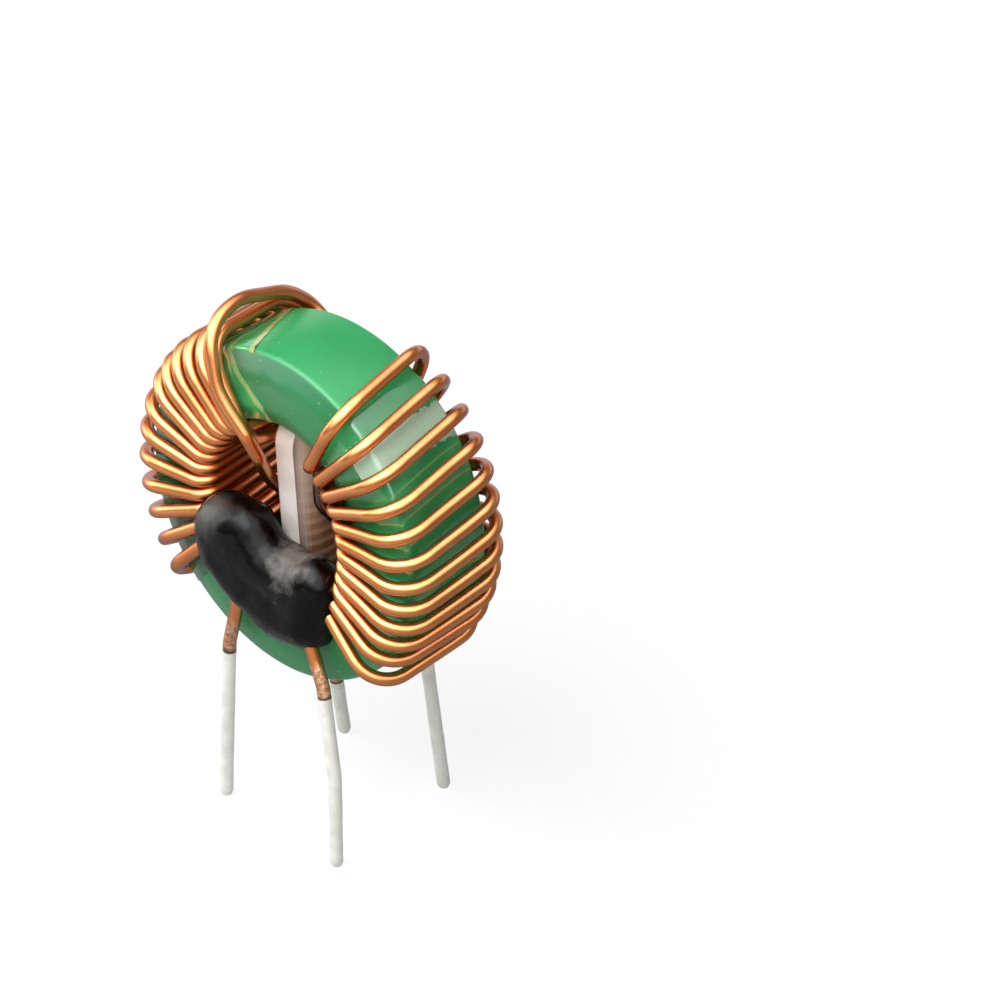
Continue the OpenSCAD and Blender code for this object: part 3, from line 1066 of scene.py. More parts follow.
@dataclass
class Tape:
    """One band of clear film round the ring, under a winding. Its first edge is a cut that shows."""

    ring: CoatedRing
    name: str
    node: str
    first: float
    last: float
    glint: Optional[PaintedGlint] = None
    shaded_from: Optional[float] = None
    spare: float = 0.0
    step: float = 1.0
    past_chamfer: float = 0.15

    @property
    def edge_normal(self) -> Vector:
        """Normal of the plane that cuts the first edge."""
        return onward(self.first)

    def edge_line(self, offset: float, width: float, strength: float) -> TapeLine:
        """Draws a line along the first edge, from the front face to the back.

        Args:
            offset: How far it lies inside the band.
            width: Its width.
            strength: How much of the colour below it hides.

        Returns:
            The line.
        """
        return TapeLine(self.edge_normal, offset, width, strength,
                        -self.ring.size.face_y + self.past_chamfer, PAST_RING)

    def lines(self) -> Tuple[TapeLine, ...]:
        """The cut edges that show."""
        return (self.edge_line(offset=0.25, width=0.42, strength=0.85),)

    def film(self) -> bpy.types.Object:
        """Models the band, with something to spare before its first edge.

        Returns:
            The band.
        """
        s = self.ring.size
        first = self.first - self.spare
        return self.ring.swept(self.name, s.coating_t + s.tape_t, first, self.last,
                               int((self.last - first) / self.step))

    def build(self) -> None:
        """Builds the band in its node's place."""
        piece = self.film()
        smooth(piece, self.ring.crease)
        finish = PolyesterTape(self.ring.size.centre, self.lines(), self.glint, self.shaded_from)
        put_in_place(piece, self.node, finish.material())


@dataclass
class SlantingTape(Tape):
    """A band whose first edge leans from front to back. Over the front face it is cut back to an
    edge that runs aslant."""

    shaded_from: Optional[float] = 2.4
    spare: float = 12.0
    lean: float = 26.0
    aslant_slope: float = 0.627
    aslant_at: float = 7.12
    over_chamfer: float = 0.08
    block_size: float = 40.0

    @property
    def edge_normal(self) -> Vector:
        """Normal of the plane that cuts the first edge, which leans from front to back."""
        lean = math.radians(self.lean)
        return onward(self.first) * math.cos(lean) - Vector((0, math.sin(lean), 0))

    @property
    def aslant(self) -> Vector:
        """A vector square to the edge on the front face. Its length goes with aslant_at."""
        return onward(self.first) - outward(self.first) * self.aslant_slope

    @property
    def aslant_offset(self) -> float:
        """Distance of the edge on the front face from the ring's centre."""
        return -self.aslant_at / self.aslant.length

    def lines(self) -> Tuple[TapeLine, ...]:
        """Draws the cut edges that show.

        Returns:
            The first edge, the end of a second layer two millimetres further on, and the edge
            that runs aslant over the front face.
        """
        s = self.ring.size
        over_face = TapeLine(self.aslant.normalized(), offset=self.aslant_offset + 0.2, width=0.4,
                             strength=0.5, lowest_y=-PAST_RING,
                             highest_y=-s.face_y + s.chamfer_axial)
        return (*super().lines(), self.edge_line(offset=2.1, width=0.25, strength=0.4), over_face)

    def film(self) -> bpy.types.Object:
        """Models the band and cuts it to its edges.

        Returns:
            The band.
        """
        s = self.ring.size
        piece = super().film()
        cut(piece, s.ring_z, self.edge_normal)
        bpy.ops.object.select_all(action="DESELECT")
        bpy.ops.mesh.primitive_cube_add(size=self.block_size * MM)
        block = bpy.context.object
        square, along_y = self.aslant.normalized(), Vector((0, 1, 0))
        front = -s.face_y + s.chamfer_axial - self.over_chamfer
        middle = (s.centre + square * (self.aslant_offset - self.block_size / 2)
                  + Vector((0, front - self.block_size / 2, 0)))
        turn = Matrix((square, along_y, square.cross(along_y))).transposed()
        block.matrix_world = Matrix.Translation(middle * MM) @ turn.to_4x4()
        apply_modifier(piece, "BOOLEAN", operation="DIFFERENCE", object=block, solver="EXACT")
        bpy.data.objects.remove(block)
        return piece


# ---------------------------------------------------------------- wire


@dataclass(frozen=True)
class Step:
    """One step of a wire's route: where it turns, how wide it bends and how thick it is."""

    point: Vector
    bend: float
    radius: float


@dataclass(frozen=True)
class PathPoint:
    """One point on a wire's axis and its radius there."""

    point: Vector
    radius: float


def rounded(route: Sequence[Step]) -> List[PathPoint]:
    """Rounds a route's corners.

    Args:
        route: The route's steps.

    Returns:
        The points of the axis.
    """
    path = [PathPoint(route[0].point, route[0].radius)]
    for a, b, c in zip(route, route[1:], route[2:]):
        u = (a.point - b.point).normalized()
        v = (c.point - b.point).normalized()
        turn = math.pi - u.angle(v)
        if turn < math.radians(LEAST_TURN) or b.bend == 0:
            path.append(PathPoint(b.point, b.radius))
            continue
        limit = BEND_SHARE * min((a.point - b.point).length, (c.point - b.point).length)
        reach = min(b.bend * math.tan(turn / 2), limit)
        radius = reach / math.tan(turn / 2)
        centre = b.point + (u + v).normalized() * radius / math.cos(turn / 2)
        start = (b.point + u * reach - centre).normalized()
        count = math.ceil(math.degrees(turn) / ARC_STEP)
        for i in range(count + 1):
            w = turn * i / count
            path.append(PathPoint(centre + radius * (start * math.cos(w) - u * math.sin(w)), b.radius))
    path.append(PathPoint(route[-1].point, route[-1].radius))
    return path


def resampled(path: Sequence[PathPoint], spacing: float) -> List[PathPoint]:
    """Splits the long stretches of a path.

    Args:
        path: The points of an axis.
        spacing: Longest stretch left, in millimetres.

    Returns:
        The same axis with more points.
    """
    result = [path[0]]
    for a, b in zip(path, path[1:]):
        count = max(1, math.ceil((b.point - a.point).length / spacing))
        for i in range(1, count + 1):
            t = i / count
            result.append(PathPoint(a.point.lerp(b.point, t), a.radius + (b.radius - a.radius) * t))
    return result


def round_tube(name: str, path: Sequence[PathPoint]) -> bpy.types.Object:
    """Draws a path as a curve with a round section and turns it into a mesh.

    Args:
        name: The piece's name.
        path: The points of its axis.

    Returns:
        The piece.
    """
    bpy.ops.object.select_all(action="DESELECT")
    bpy.ops.curve.primitive_nurbs_path_add(location=(0, 0, 0))
    piece = bpy.context.object
    piece.name = name
    curve = piece.data
    curve.splines.clear()
    spline = curve.splines.new("POLY")
    spline.points.add(len(path) - 1)
    for target, source in zip(spline.points, path):
        target.co = (*(source.point * MM), 1)
        target.radius = source.radius
    curve.bevel_depth = MM
    curve.bevel_resolution = TUBE_ROUNDNESS
    curve.use_fill_caps = True
    only(piece)
    bpy.ops.object.convert(target="MESH")
    piece = bpy.context.object
    with editing(piece):
        bpy.ops.mesh.remove_doubles(threshold=TUBE_WELD * MM)
        bpy.ops.mesh.normals_make_consistent(inside=False)
    smooth(piece, TUBE_CREASE)
    return piece


@dataclass(frozen=True)
class Leg:
    """One lead's tinned end: its axis from the seating plane upward."""

    name: str
    node: str
    axis: Tuple[Vector, ...]

    @property
    def upward(self) -> Vector:
        """Direction in which the lead leaves the tin."""
        return (self.axis[-1] - self.axis[-2]).normalized()

    def steps(self, size: RingSize) -> List[Step]:
        """The wire's route inside the tin and to its first bend above.

        Args:
            size: Sizes of the wire.

        Returns:
            The steps, from the cut end upward.
        """
        bare = size.bare_d / 2 - size.tin_cover
        tip = (self.axis[1] - self.axis[0]).normalized() * size.tip_cover
        top = self.axis[-1]
        return [Step(self.axis[0] + tip, 0, bare),
                *[Step(p, size.lead_bend, bare) for p in self.axis[1:-1]],
                Step(top, 0, bare),
                Step(top + self.upward * size.neck, 0, size.wire_r),
                Step(top + self.upward * size.rise, size.rise_bend, size.wire_r)]


@dataclass
class Legs:
    """The four tinned ends that the choke stands on. Each kind of lump is given by how many there
    are to a millimetre and by its height as a part of the radius."""

    size: RingSize
    spacing: float = 0.3
    thicker: float = 0.02
    lumps: Tuple[Tuple[float, float], ...] = ((0.55, 0.04), (2.1, 0.02))
    foot_taper: float = 0.3
    foot_length: float = 0.4
    top_swell: float = 0.05
    top_length: float = 0.9

    def __post_init__(self) -> None:
        """Places the four ends."""
        self.a = self.leg("a", "front_left", Side.FRONT, (-4.48, 0.85, 0), (-3.9, 0.95, 12.5))
        self.b = self.leg("b", "front_right", Side.FRONT, (7.57, 1.78, 0), (7.15, 1.45, 6.9),
                          (5.76, 1.05, 12.95))
        self.c = self.leg("c", "back_right", Side.BACK, (5.92, 2.18, 0), (5.22, 0.93, 12.6))
        self.d = self.leg("d", "back_left", Side.BACK, (-4.14, 2.2, 0), (-4.37, 1.67, 4.5))

    def leg(self, letter: str, corner: str, side: Side, *places: Place) -> Leg:
        """Places one end.

        Args:
            letter: The letter of its piece.
            corner: The corner that its node is named for.
            side: The side of the ring that it stands on.
            places: Points of its axis, each across, out from the face and above the table.

        Returns:
            The end.
        """
        return Leg("tinned_end_" + letter, "tinned_end_" + corner,
                   tuple(self.size.beside(side, *place) for place in places))

    def tin(self, leg: Leg) -> bpy.types.Object:
        """Models one tinned end: an uneven skin of tin with a rounded foot and a swollen top.

        Args:
            leg: The lead's end.

        Returns:
            The piece.
        """
        r = self.size.tin_d / 2
        route = [Step(p, self.size.lead_bend, r) for p in leg.axis]
        path = resampled(rounded(route), self.spacing)
        total = sum((b.point - a.point).length for a, b in zip(path, path[1:]))
        shaped: List[PathPoint] = []
        run = 0.0
        for i, p in enumerate(path):
            run += (p.point - path[i - 1].point).length if i else 0.0
            lump = sum((noise.noise(p.point * closeness) * height for closeness, height in self.lumps),
                       self.thicker)
            foot = 1 - self.foot_taper * max(0.0, 1 - run / self.foot_length) ** 2
            top = 1 + self.top_swell * max(0.0, 1 - (total - run) / self.top_length)
            shaped.append(PathPoint(p.point, r * (1 + lump) * foot * top))
        piece = round_tube(leg.name, shaped)
        cut(piece, 0, (0, 0, 1))
        return piece

    def build(self, finish: bpy.types.Material) -> None:
        """Builds the four ends in their nodes' places."""
        for leg in (self.a, self.b, self.c, self.d):
            put_in_place(self.tin(leg), leg.node, finish)


@dataclass
class Winding(ABC):
    """What the two windings share: the order of a route, hand-wound waver, the wear marks and a
    painted shade.
    """

    name: ClassVar[str]
    node: ClassVar[str]
    size: RingSize
    legs: Legs
    gap: float
    first: float
    # How finely the wire is drawn, how it wavers and how wide it bends
    spacing: float = 0.35
    waver: float = 0.05
    wavers_per_mm: float = 0.22
    inner_bend: float = 1.2
    outer_bend: float = 2.6
    # What counts as a lead by its tin, and how far up it is scraped and burnt
    lead_reach: float = 6.0
    lead_overlap: float = 1.0
    lead_girth: float = 1.6
    scrape_length: float = 3.0
    scrape_edge: float = 0.5
    burn_length: float = 0.32
    burn_edge: float = 0.2
    burn_rag: float = 0.4
    rag: float = 0.7
    rags_per_mm: float = 1.3
    # Where shade is painted on the wire in the bore
    shaded_x: Tuple[float, float] = (1.5, 4.3)
    shaded_rise: Tuple[float, float] = (-8.5, 6.0)
    shaded_inside: float = 0.4
    shade_top: float = 5.2
    shade_edge: float = 1.2
    shade_most: float = 0.9

    @property
    @abstractmethod
    def ends(self) -> Tuple[Leg, Leg]:
        """The leads that the route starts and ends with."""

    @property
    @abstractmethod
    def limit(self) -> float:
        """Angle in the bore past which no turn fits."""

    @abstractmethod
    def entry(self) -> List[Step]:
        """What lies between the first lead and the first turn."""

    @abstractmethod
    def turn(self, k: int) -> List[Step]:
        """The four corners of turn k."""

    @abstractmethod
    def exit(self) -> List[Step]:
        """What lies between the last turn and the last lead."""

    @property
    def pitch(self) -> float:
        """Degrees from turn to turn in the bore."""
        s = self.size
        return 2 * math.degrees(math.asin((s.wire_d + self.gap) / 2 / s.bore_wire))

    @property
    def turns(self) -> int:
        """Number of turns that fit."""
        return int((self.first - self.limit) / self.pitch) + 1

    def angle_in(self, k: int) -> float:
        """Angle of turn k in the bore."""
        return self.first - k * self.pitch

    def strand(self, *corners: Tuple[Vector, float]) -> List[Step]:
        """Steps of enamelled wire, from its corners and how wide it bends at each."""
        return [Step(point, bend, self.size.wire_r) for point, bend in corners]

    def route(self) -> List[Step]:
        """Draws the whole route.

        Returns:
            Its steps, from lead to lead.
        """
        first, last = self.ends
        steps = first.steps(self.size) + self.entry()
        for k in range(self.turns):
            steps += self.turn(k)
        return steps + self.exit() + last.steps(self.size)[::-1]

    def painted_patch(self, p: Vector) -> float:
        """Finds how much shade is painted on the wire: the strand that climbs through the bore on the
        divider's right is darkened there, where it lies in shade.

        Args:
            p: A point of the wire.

        Returns:
            0 where no shade is painted, up to 1.
        """
        rise = p.z - self.size.ring_z
        if not (self.shaded_x[0] < p.x < self.shaded_x[1]
                and abs(p.y) < self.size.face_y - self.shaded_inside
                and self.shaded_rise[0] < rise < self.shaded_rise[1]):
            return 0.0
        return self.shade_most * clamped((self.shade_top - rise) / self.shade_edge)

    def mark(self, piece: bpy.types.Object) -> None:
        """Writes where the wire is scraped and burnt, and where shade is painted on it.

        Args:
            piece: The wire.
        """
        for wear in WearAndShade:
            piece.data.attributes.new(wear.value, "FLOAT", "POINT")
        scraped, burnt, painted_shade = [piece.data.attributes[wear.value].data for wear in WearAndShade]
        tops = [(leg.axis[-1], leg.upward) for leg in self.ends]
        for vertex in piece.data.vertices:
            p = vertex.co / MM
            # Painted shade on the strand that climbs beside the divider
            painted_shade[vertex.index].value = self.painted_patch(p)
            for top, up in tops:
                offset = p - top
                height = offset.dot(up)
                girth = (offset - height * up).length
                if (offset.length > self.lead_reach or height < -self.lead_overlap
                        or girth > self.lead_girth):
                    continue
                ragged = noise.noise(p * self.rags_per_mm) * self.rag
                scraped[vertex.index].value = clamped(
                    (self.scrape_length + ragged - height) / self.scrape_edge)
                burnt[vertex.index].value = clamped(
                    (self.burn_length + ragged * self.burn_rag - height) / self.burn_edge)

    def build(self, finish: bpy.types.Material) -> None:
        """Builds the winding in its node's place.

        Args:
            finish: Its material.
        """
        path = []
        for p in resampled(rounded(self.route()), self.spacing):
            drift = noise.noise_vector(p.point * self.wavers_per_mm) * self.waver
            path.append(PathPoint(p.point + drift, p.radius))
        piece = round_tube(self.name, path)
        self.mark(piece)
        put_in_place(piece, self.node, finish)
        log.info("%s: %d turns", self.name, self.turns)


@dataclass(frozen=True)
class DividerSize:
    """Sizes of the plate between the windings, before it is bevelled."""

    thickness: float = 2.4
    length: float = 6.0
    corner: float = 2.2
    soft_edge: float = 0.22
    lean: float = 5.0


@dataclass
class LeftWinding(Winding):
    """The left winding, with the raised strand that ends it."""

    name: ClassVar[str] = "winding_left_wire"
    node: ClassVar[str] = "winding_left"
    gap: float = 0.015
    first: float = 214.0
    fan_first: float = 220.8
    fan_last: float = 115.6
    bunch_from: float = 0.58
    bunch: float = 0.28
    lean: float = 8.0
    divider: DividerSize = DividerSize()
    divider_gap: float = 0.05

    @property
    def ends(self) -> Tuple[Leg, Leg]:
        """The front lead and the back lead."""
        return self.legs.a, self.legs.d

    def beside_divider(self, rho: float) -> float:
        """Angle at which a strand at radius rho lies against the divider's left side."""
        reach = self.divider.thickness / 2 + self.size.wire_r + self.divider_gap
        return 90 + self.divider.lean + math.degrees(math.asin(reach / rho))

    def left_of_divider(self, rise: float, gap: float) -> float:
        """Finds where a strand clears the divider's left side.

        Args:
            rise: Height over the ring's centre.
            gap: How far it clears the divider.

        Returns:
            The strand's x.
        """
        lean = math.radians(self.divider.lean)
        half = self.divider.thickness / 2 + self.size.wire_r
        return -half / math.cos(lean) - rise * math.tan(lean) - gap

    @property
    def limit(self) -> float:
        """Angle in the bore past which no turn fits beside the divider."""
        s = self.size
        return (self.beside_divider(s.bore_wire)
                - self.pitch * (s.face_wire - self.divider.length / 2) / 2 / s.face_wire)

    def angle_out(self, k: int) -> float:
        """Fans the turns out on the rim.

        Args:
            k: Number of the turn, from 0.

        Returns:
            Its angle there.
        """
        u = k / (self.turns - 1)
        slope = 1 / (1 - self.bunch * (1 - self.bunch_from))
        return self.fan_first - ((self.fan_first - self.fan_last) * slope
                                 * (u - self.bunch * max(0.0, u - self.bunch_from)))

    def entry(self) -> List[Step]:
        """Leads the wire from the front lead into the bore.

        Returns:
            The steps.
        """
        s = self.size
        return self.strand((s.beside(Side.FRONT, -3.03, 0.95, s.bottom - 0.67), 2),
                           (s.at(s.bore_wire, self.angle_in(-1) + 0.5, -s.face_wire - 0.1), 1.2))

    def turn(self, k: int) -> List[Step]:
        """Lays one turn. The last one ends pulled in toward the ring's axis.

        Args:
            k: Number of the turn, from 0.

        Returns:
            Its four corners.
        """
        s = self.size
        end = s.at(s.bore_wire, self.angle_in(k), -s.face_wire)
        if k == self.turns - 1:
            end = s.at(s.bore_wire - 0.5, self.angle_in(k) - 0.2, -s.face_wire - 0.05)
        return self.strand(
            (s.at(s.bore_wire, self.angle_in(k), s.face_wire), self.inner_bend),
            (s.at(s.corner_rho, self.angle_out(k) + self.lean, s.corner_y), self.outer_bend),
            (s.at(s.corner_rho, self.angle_out(k), -s.corner_y), self.outer_bend),
            (end, self.inner_bend))

    def exit(self) -> List[Step]:
        """Lays the last strand over the top turn, up in a loop and down through the bore.

        Returns:
            The steps.
        """
        s = self.size
        out = self.fan_last - 4.4
        over = s.bore_wire - s.wire_d - 0.03
        aside = self.beside_divider(over)
        return self.strand(
            (s.at(over, aside, -s.face_wire + 1.9), 2),
            (s.at(over, aside + 0.4, s.face_wire + s.wire_d + 0.1), 1),
            (s.at(over + 3.4, out + 1.0, s.face_wire + s.wire_d + 0.1), 2),
            (s.at(s.rim_wire - 0.8, out + 7.0, s.face_wire + 0.25), 2.5),
            (s.at(s.rim_wire + 0.8, out + 5.5, s.face_wire - 1.5), 6),
            (s.at(s.rim_wire + 2.35, out + 1.4, -s.face_wire + 2.8), 9),
            (s.at(s.rim_wire + 1.35, out - 0.3, -s.face_wire - 0.75), 4),
            (s.at(s.bore_wire + 4, out + 0.5, -s.face_wire - 1.25), 9),
            (s.at(s.bore_wire + 2.2, out - 2.6, -s.face_wire - 1.1), 4),
            (Vector((-1.5, -s.face_y - 1.4, s.top - 0.55)), 1),
            (Vector((-1.25, -s.face_y - 0.45, s.top - 2.65)), 2),
            (Vector((self.left_of_divider(1.9, 0.1), -s.face_y + 1.25, s.ring_z + 1.9)), 3),
            (Vector((self.left_of_divider(-2, 0.6), 0.4, s.ring_z - 2)), 4),
            (Vector((self.left_of_divider(-5, 1.3), s.face_y - 1.05, s.bottom + 2.05)), 3),
            (s.beside(Side.BACK, -2.8, 0.95, s.bottom - 0.35), 2),
            (s.beside(Side.BACK, -3.4, 1.15, s.bottom - 3.2), 4))


@dataclass
class RightWinding(Winding):
    """The right winding, whose first strand climbs through the bore beside the divider."""

    name: ClassVar[str] = "winding_right_wire"
    node: ClassVar[str] = "winding_right"
    gap: float = 0.05
    first: float = 57.3
    room_to: float = -42.5
    fan_first: float = 58.8
    fan_last: float = -33.4
    bunch: float = 0.4
    tail: float = 8.0
    ease: float = 0.5
    sag: float = 0.5
    slack: float = 0.45
    lean_rim: float = 8.0
    lean_bore: float = 3.0

    @property
    def ends(self) -> Tuple[Leg, Leg]:
        """The back lead and the front lead."""
        return self.legs.c, self.legs.b

    @property
    def limit(self) -> float:
        """Angle in the bore past which no turn fits."""
        return self.room_to

    def angle_out(self, k: int) -> float:
        """Fans the turns out on the rim.

        Args:
            k: Number of the turn, from 0.

        Returns:
            Its angle there.
        """
        u = k / (self.turns - 1)
        spread = (1 + self.bunch) * u - self.bunch * u * u
        eased = self.tail * self.ease ** (self.turns - 1 - k)
        return self.fan_first - (self.fan_first - self.fan_last) * spread - eased

    def entry(self) -> List[Step]:
        """Lays the first strand up behind the ring and through the bore beside the divider.

        Returns:
            The steps.
        """
        s = self.size
        return self.strand(
            (s.beside(Side.BACK, 3, 0.85, s.bottom + 0.25), 2),
            (Vector((3.2, s.face_y - 1.25, s.bottom + 3.25)), 3),
            (Vector((3.2, -s.face_y + 3.19, s.ring_z - 0.38)), 1.5),
            (Vector((2.4, -s.face_y + 2.03, s.ring_z + 1.32)), 1.5),
            (Vector((2.4, -s.face_y + 1.9, s.ring_z + 3.3)), 3),
            (Vector((2.9, -s.face_y + 1.57, s.top - 1.68)), 2))

    def turn(self, k: int) -> List[Step]:
        """Lays one turn. The first ones stand off behind the ring, and the last one sags.

        Args:
            k: Number of the turn, from 0.

        Returns:
            Its four corners.
        """
        s = self.size
        start = s.at(s.bore_wire, self.angle_in(k), -s.face_wire)
        if k == 0:
            start = s.at(s.bore_wire + 0.5, self.angle_in(0), -s.face_wire - 0.05)
        sag = self.sag if k == self.turns - 1 else 0.0
        slack = self.slack * (1 - k / (self.turns - 1))
        return self.strand(
            (start, self.inner_bend),
            (s.at(s.corner_rho + sag, self.angle_out(k), -s.corner_y), self.outer_bend),
            (s.at(s.corner_rho + slack, self.angle_out(k) + self.lean_rim, s.corner_y + slack),
             self.outer_bend),
            (s.at(s.bore_wire, self.angle_in(k) + self.lean_bore, s.face_wire), self.inner_bend))

    def exit(self) -> List[Step]:
        """Leads the wire out of the bore to the front lead.

        Returns:
            The steps.
        """
        s = self.size
        return self.strand((s.at(s.bore_wire, self.angle_in(self.turns), -s.face_wire - 0.1), 1.2),
                           (s.beside(Side.FRONT, 4.31, 1.05, s.bottom - 0.73), 2))


# ---------------------------------------------------------------- divider and adhesive


@dataclass
class Divider:
    """The milky plate that stands in the bore between the windings."""

    ring: RingSize
    size: DividerSize = DividerSize()
    corner_steps: int = 12
    edge_steps: int = 3
    crease: float = 12.0

    def plate(self) -> bpy.types.Object:
        """Models the plate from a block that is bevelled all round. The bevels are wider than half
        its thickness and pass each other there, so its front is narrower than the block.

        Returns:
            The plate.
        """
        d = self.size
        height = 2 * math.sqrt(self.ring.bore_r**2 - (d.thickness / 2) ** 2)
        bpy.ops.object.select_all(action="DESELECT")
        bpy.ops.mesh.primitive_cube_add(size=MM)
        piece = bpy.context.object
        piece.name = "divider_plate"
        piece.scale = (d.thickness, d.length, height)
        settle(piece)
        with editing(piece):
            bpy.ops.mesh.bevel(offset=d.corner * MM, segments=self.corner_steps)
        apply_modifier(piece, "BEVEL", width=d.soft_edge * MM, segments=self.edge_steps,
                       angle_limit=1.0)
        piece.rotation_euler = (0, -math.radians(d.lean), 0)
        piece.location = (0, 0, self.ring.ring_z * MM)
        settle(piece)
        smooth(piece, self.crease)
        return piece

    def build(self) -> None:
        """Builds the divider in its node's place."""
        finish = DividerBoard(self.ring.centre, self.size.lean)
        put_in_place(self.plate(), "divider", finish.material())


@dataclass
class Adhesive:
    """One bead of black adhesive, squeezed along the bore's lower edge. Each ball that shapes it
    is given across, above the bore's lowest point, and by its radius, and each kind of lump by its
    width and height."""

    size: RingSize
    side: Side
    node: str
    out: float = 2.5
    grow: float = 0.15
    beads: Tuple[Place, ...] = (
        (-4.6, 4.7, 2.3), (-2.1, 5.5, 2.0), (-4.1, 2.9, 2.5), (-0.7, 3.7, 1.9), (-2.7, 2.0, 2.5),
        (-0.4, 2.0, 2.2), (1.3, 0.5, 2.5), (3.4, 0.7, 2.3), (4.0, 3.0, 2.1), (4.5, 4.0, 1.9))
    fillet: Tuple[Place, ...] = ((-0.6, 3.3, 2.2), (1.5, 3.2, 2.15), (3.6, 3.2, 2.1))
    voxel: float = 0.22
    softening: int = 22
    lumps: Tuple[Tuple[float, float], ...] = ((2.4, 0.35), (0.8, 0.08))
    last_softening: int = 2

    def lump(self, group: Sequence[Place]) -> bpy.types.Object:
        """Wraps a tight skin round three balls.

        Args:
            group: The balls.

        Returns:
            The lump.
        """
        s = self.size
        balls = []
        for x, up, r in group:
            centre = s.beside(self.side, x, self.out - r, s.bottom + up)
            bpy.ops.mesh.primitive_ico_sphere_add(subdivisions=4, radius=(r + self.grow) * MM,
                                                  location=centre * MM)
            balls.append(bpy.context.object)
        lump = joined(balls)
        settle(lump)
        with editing(lump):
            bpy.ops.mesh.convex_hull()
        return lump

    def build(self, finish: bpy.types.Material) -> None:
        """Builds the bead in its node's place.

        Args:
            finish: Its material.
        """
        lumps = [self.lump(self.beads[i : i + 3]) for i in range(len(self.beads) - 2)]
        piece = joined([*lumps, self.lump(self.fillet)])
        piece.name = self.node + "_bead"
        apply_modifier(piece, "REMESH", mode="VOXEL", voxel_size=self.voxel * MM)
        apply_modifier(piece, "SMOOTH", factor=0.5, iterations=self.softening)
        for width, height in self.lumps:
            uneven(piece, width, height)
        apply_modifier(piece, "SMOOTH", factor=0.5, iterations=self.last_softening)
        only(piece)
        bpy.ops.object.shade_smooth()
        put_in_place(piece, self.node, finish)


# ---------------------------------------------------------------- studio


@dataclass(frozen=True)
class Softbox:
    """A soft lamp: where it hangs, its width and height, and its face's brightness, 1 for white."""

    name: str
    place: Place
    width: float
    height: float
    radiance: float


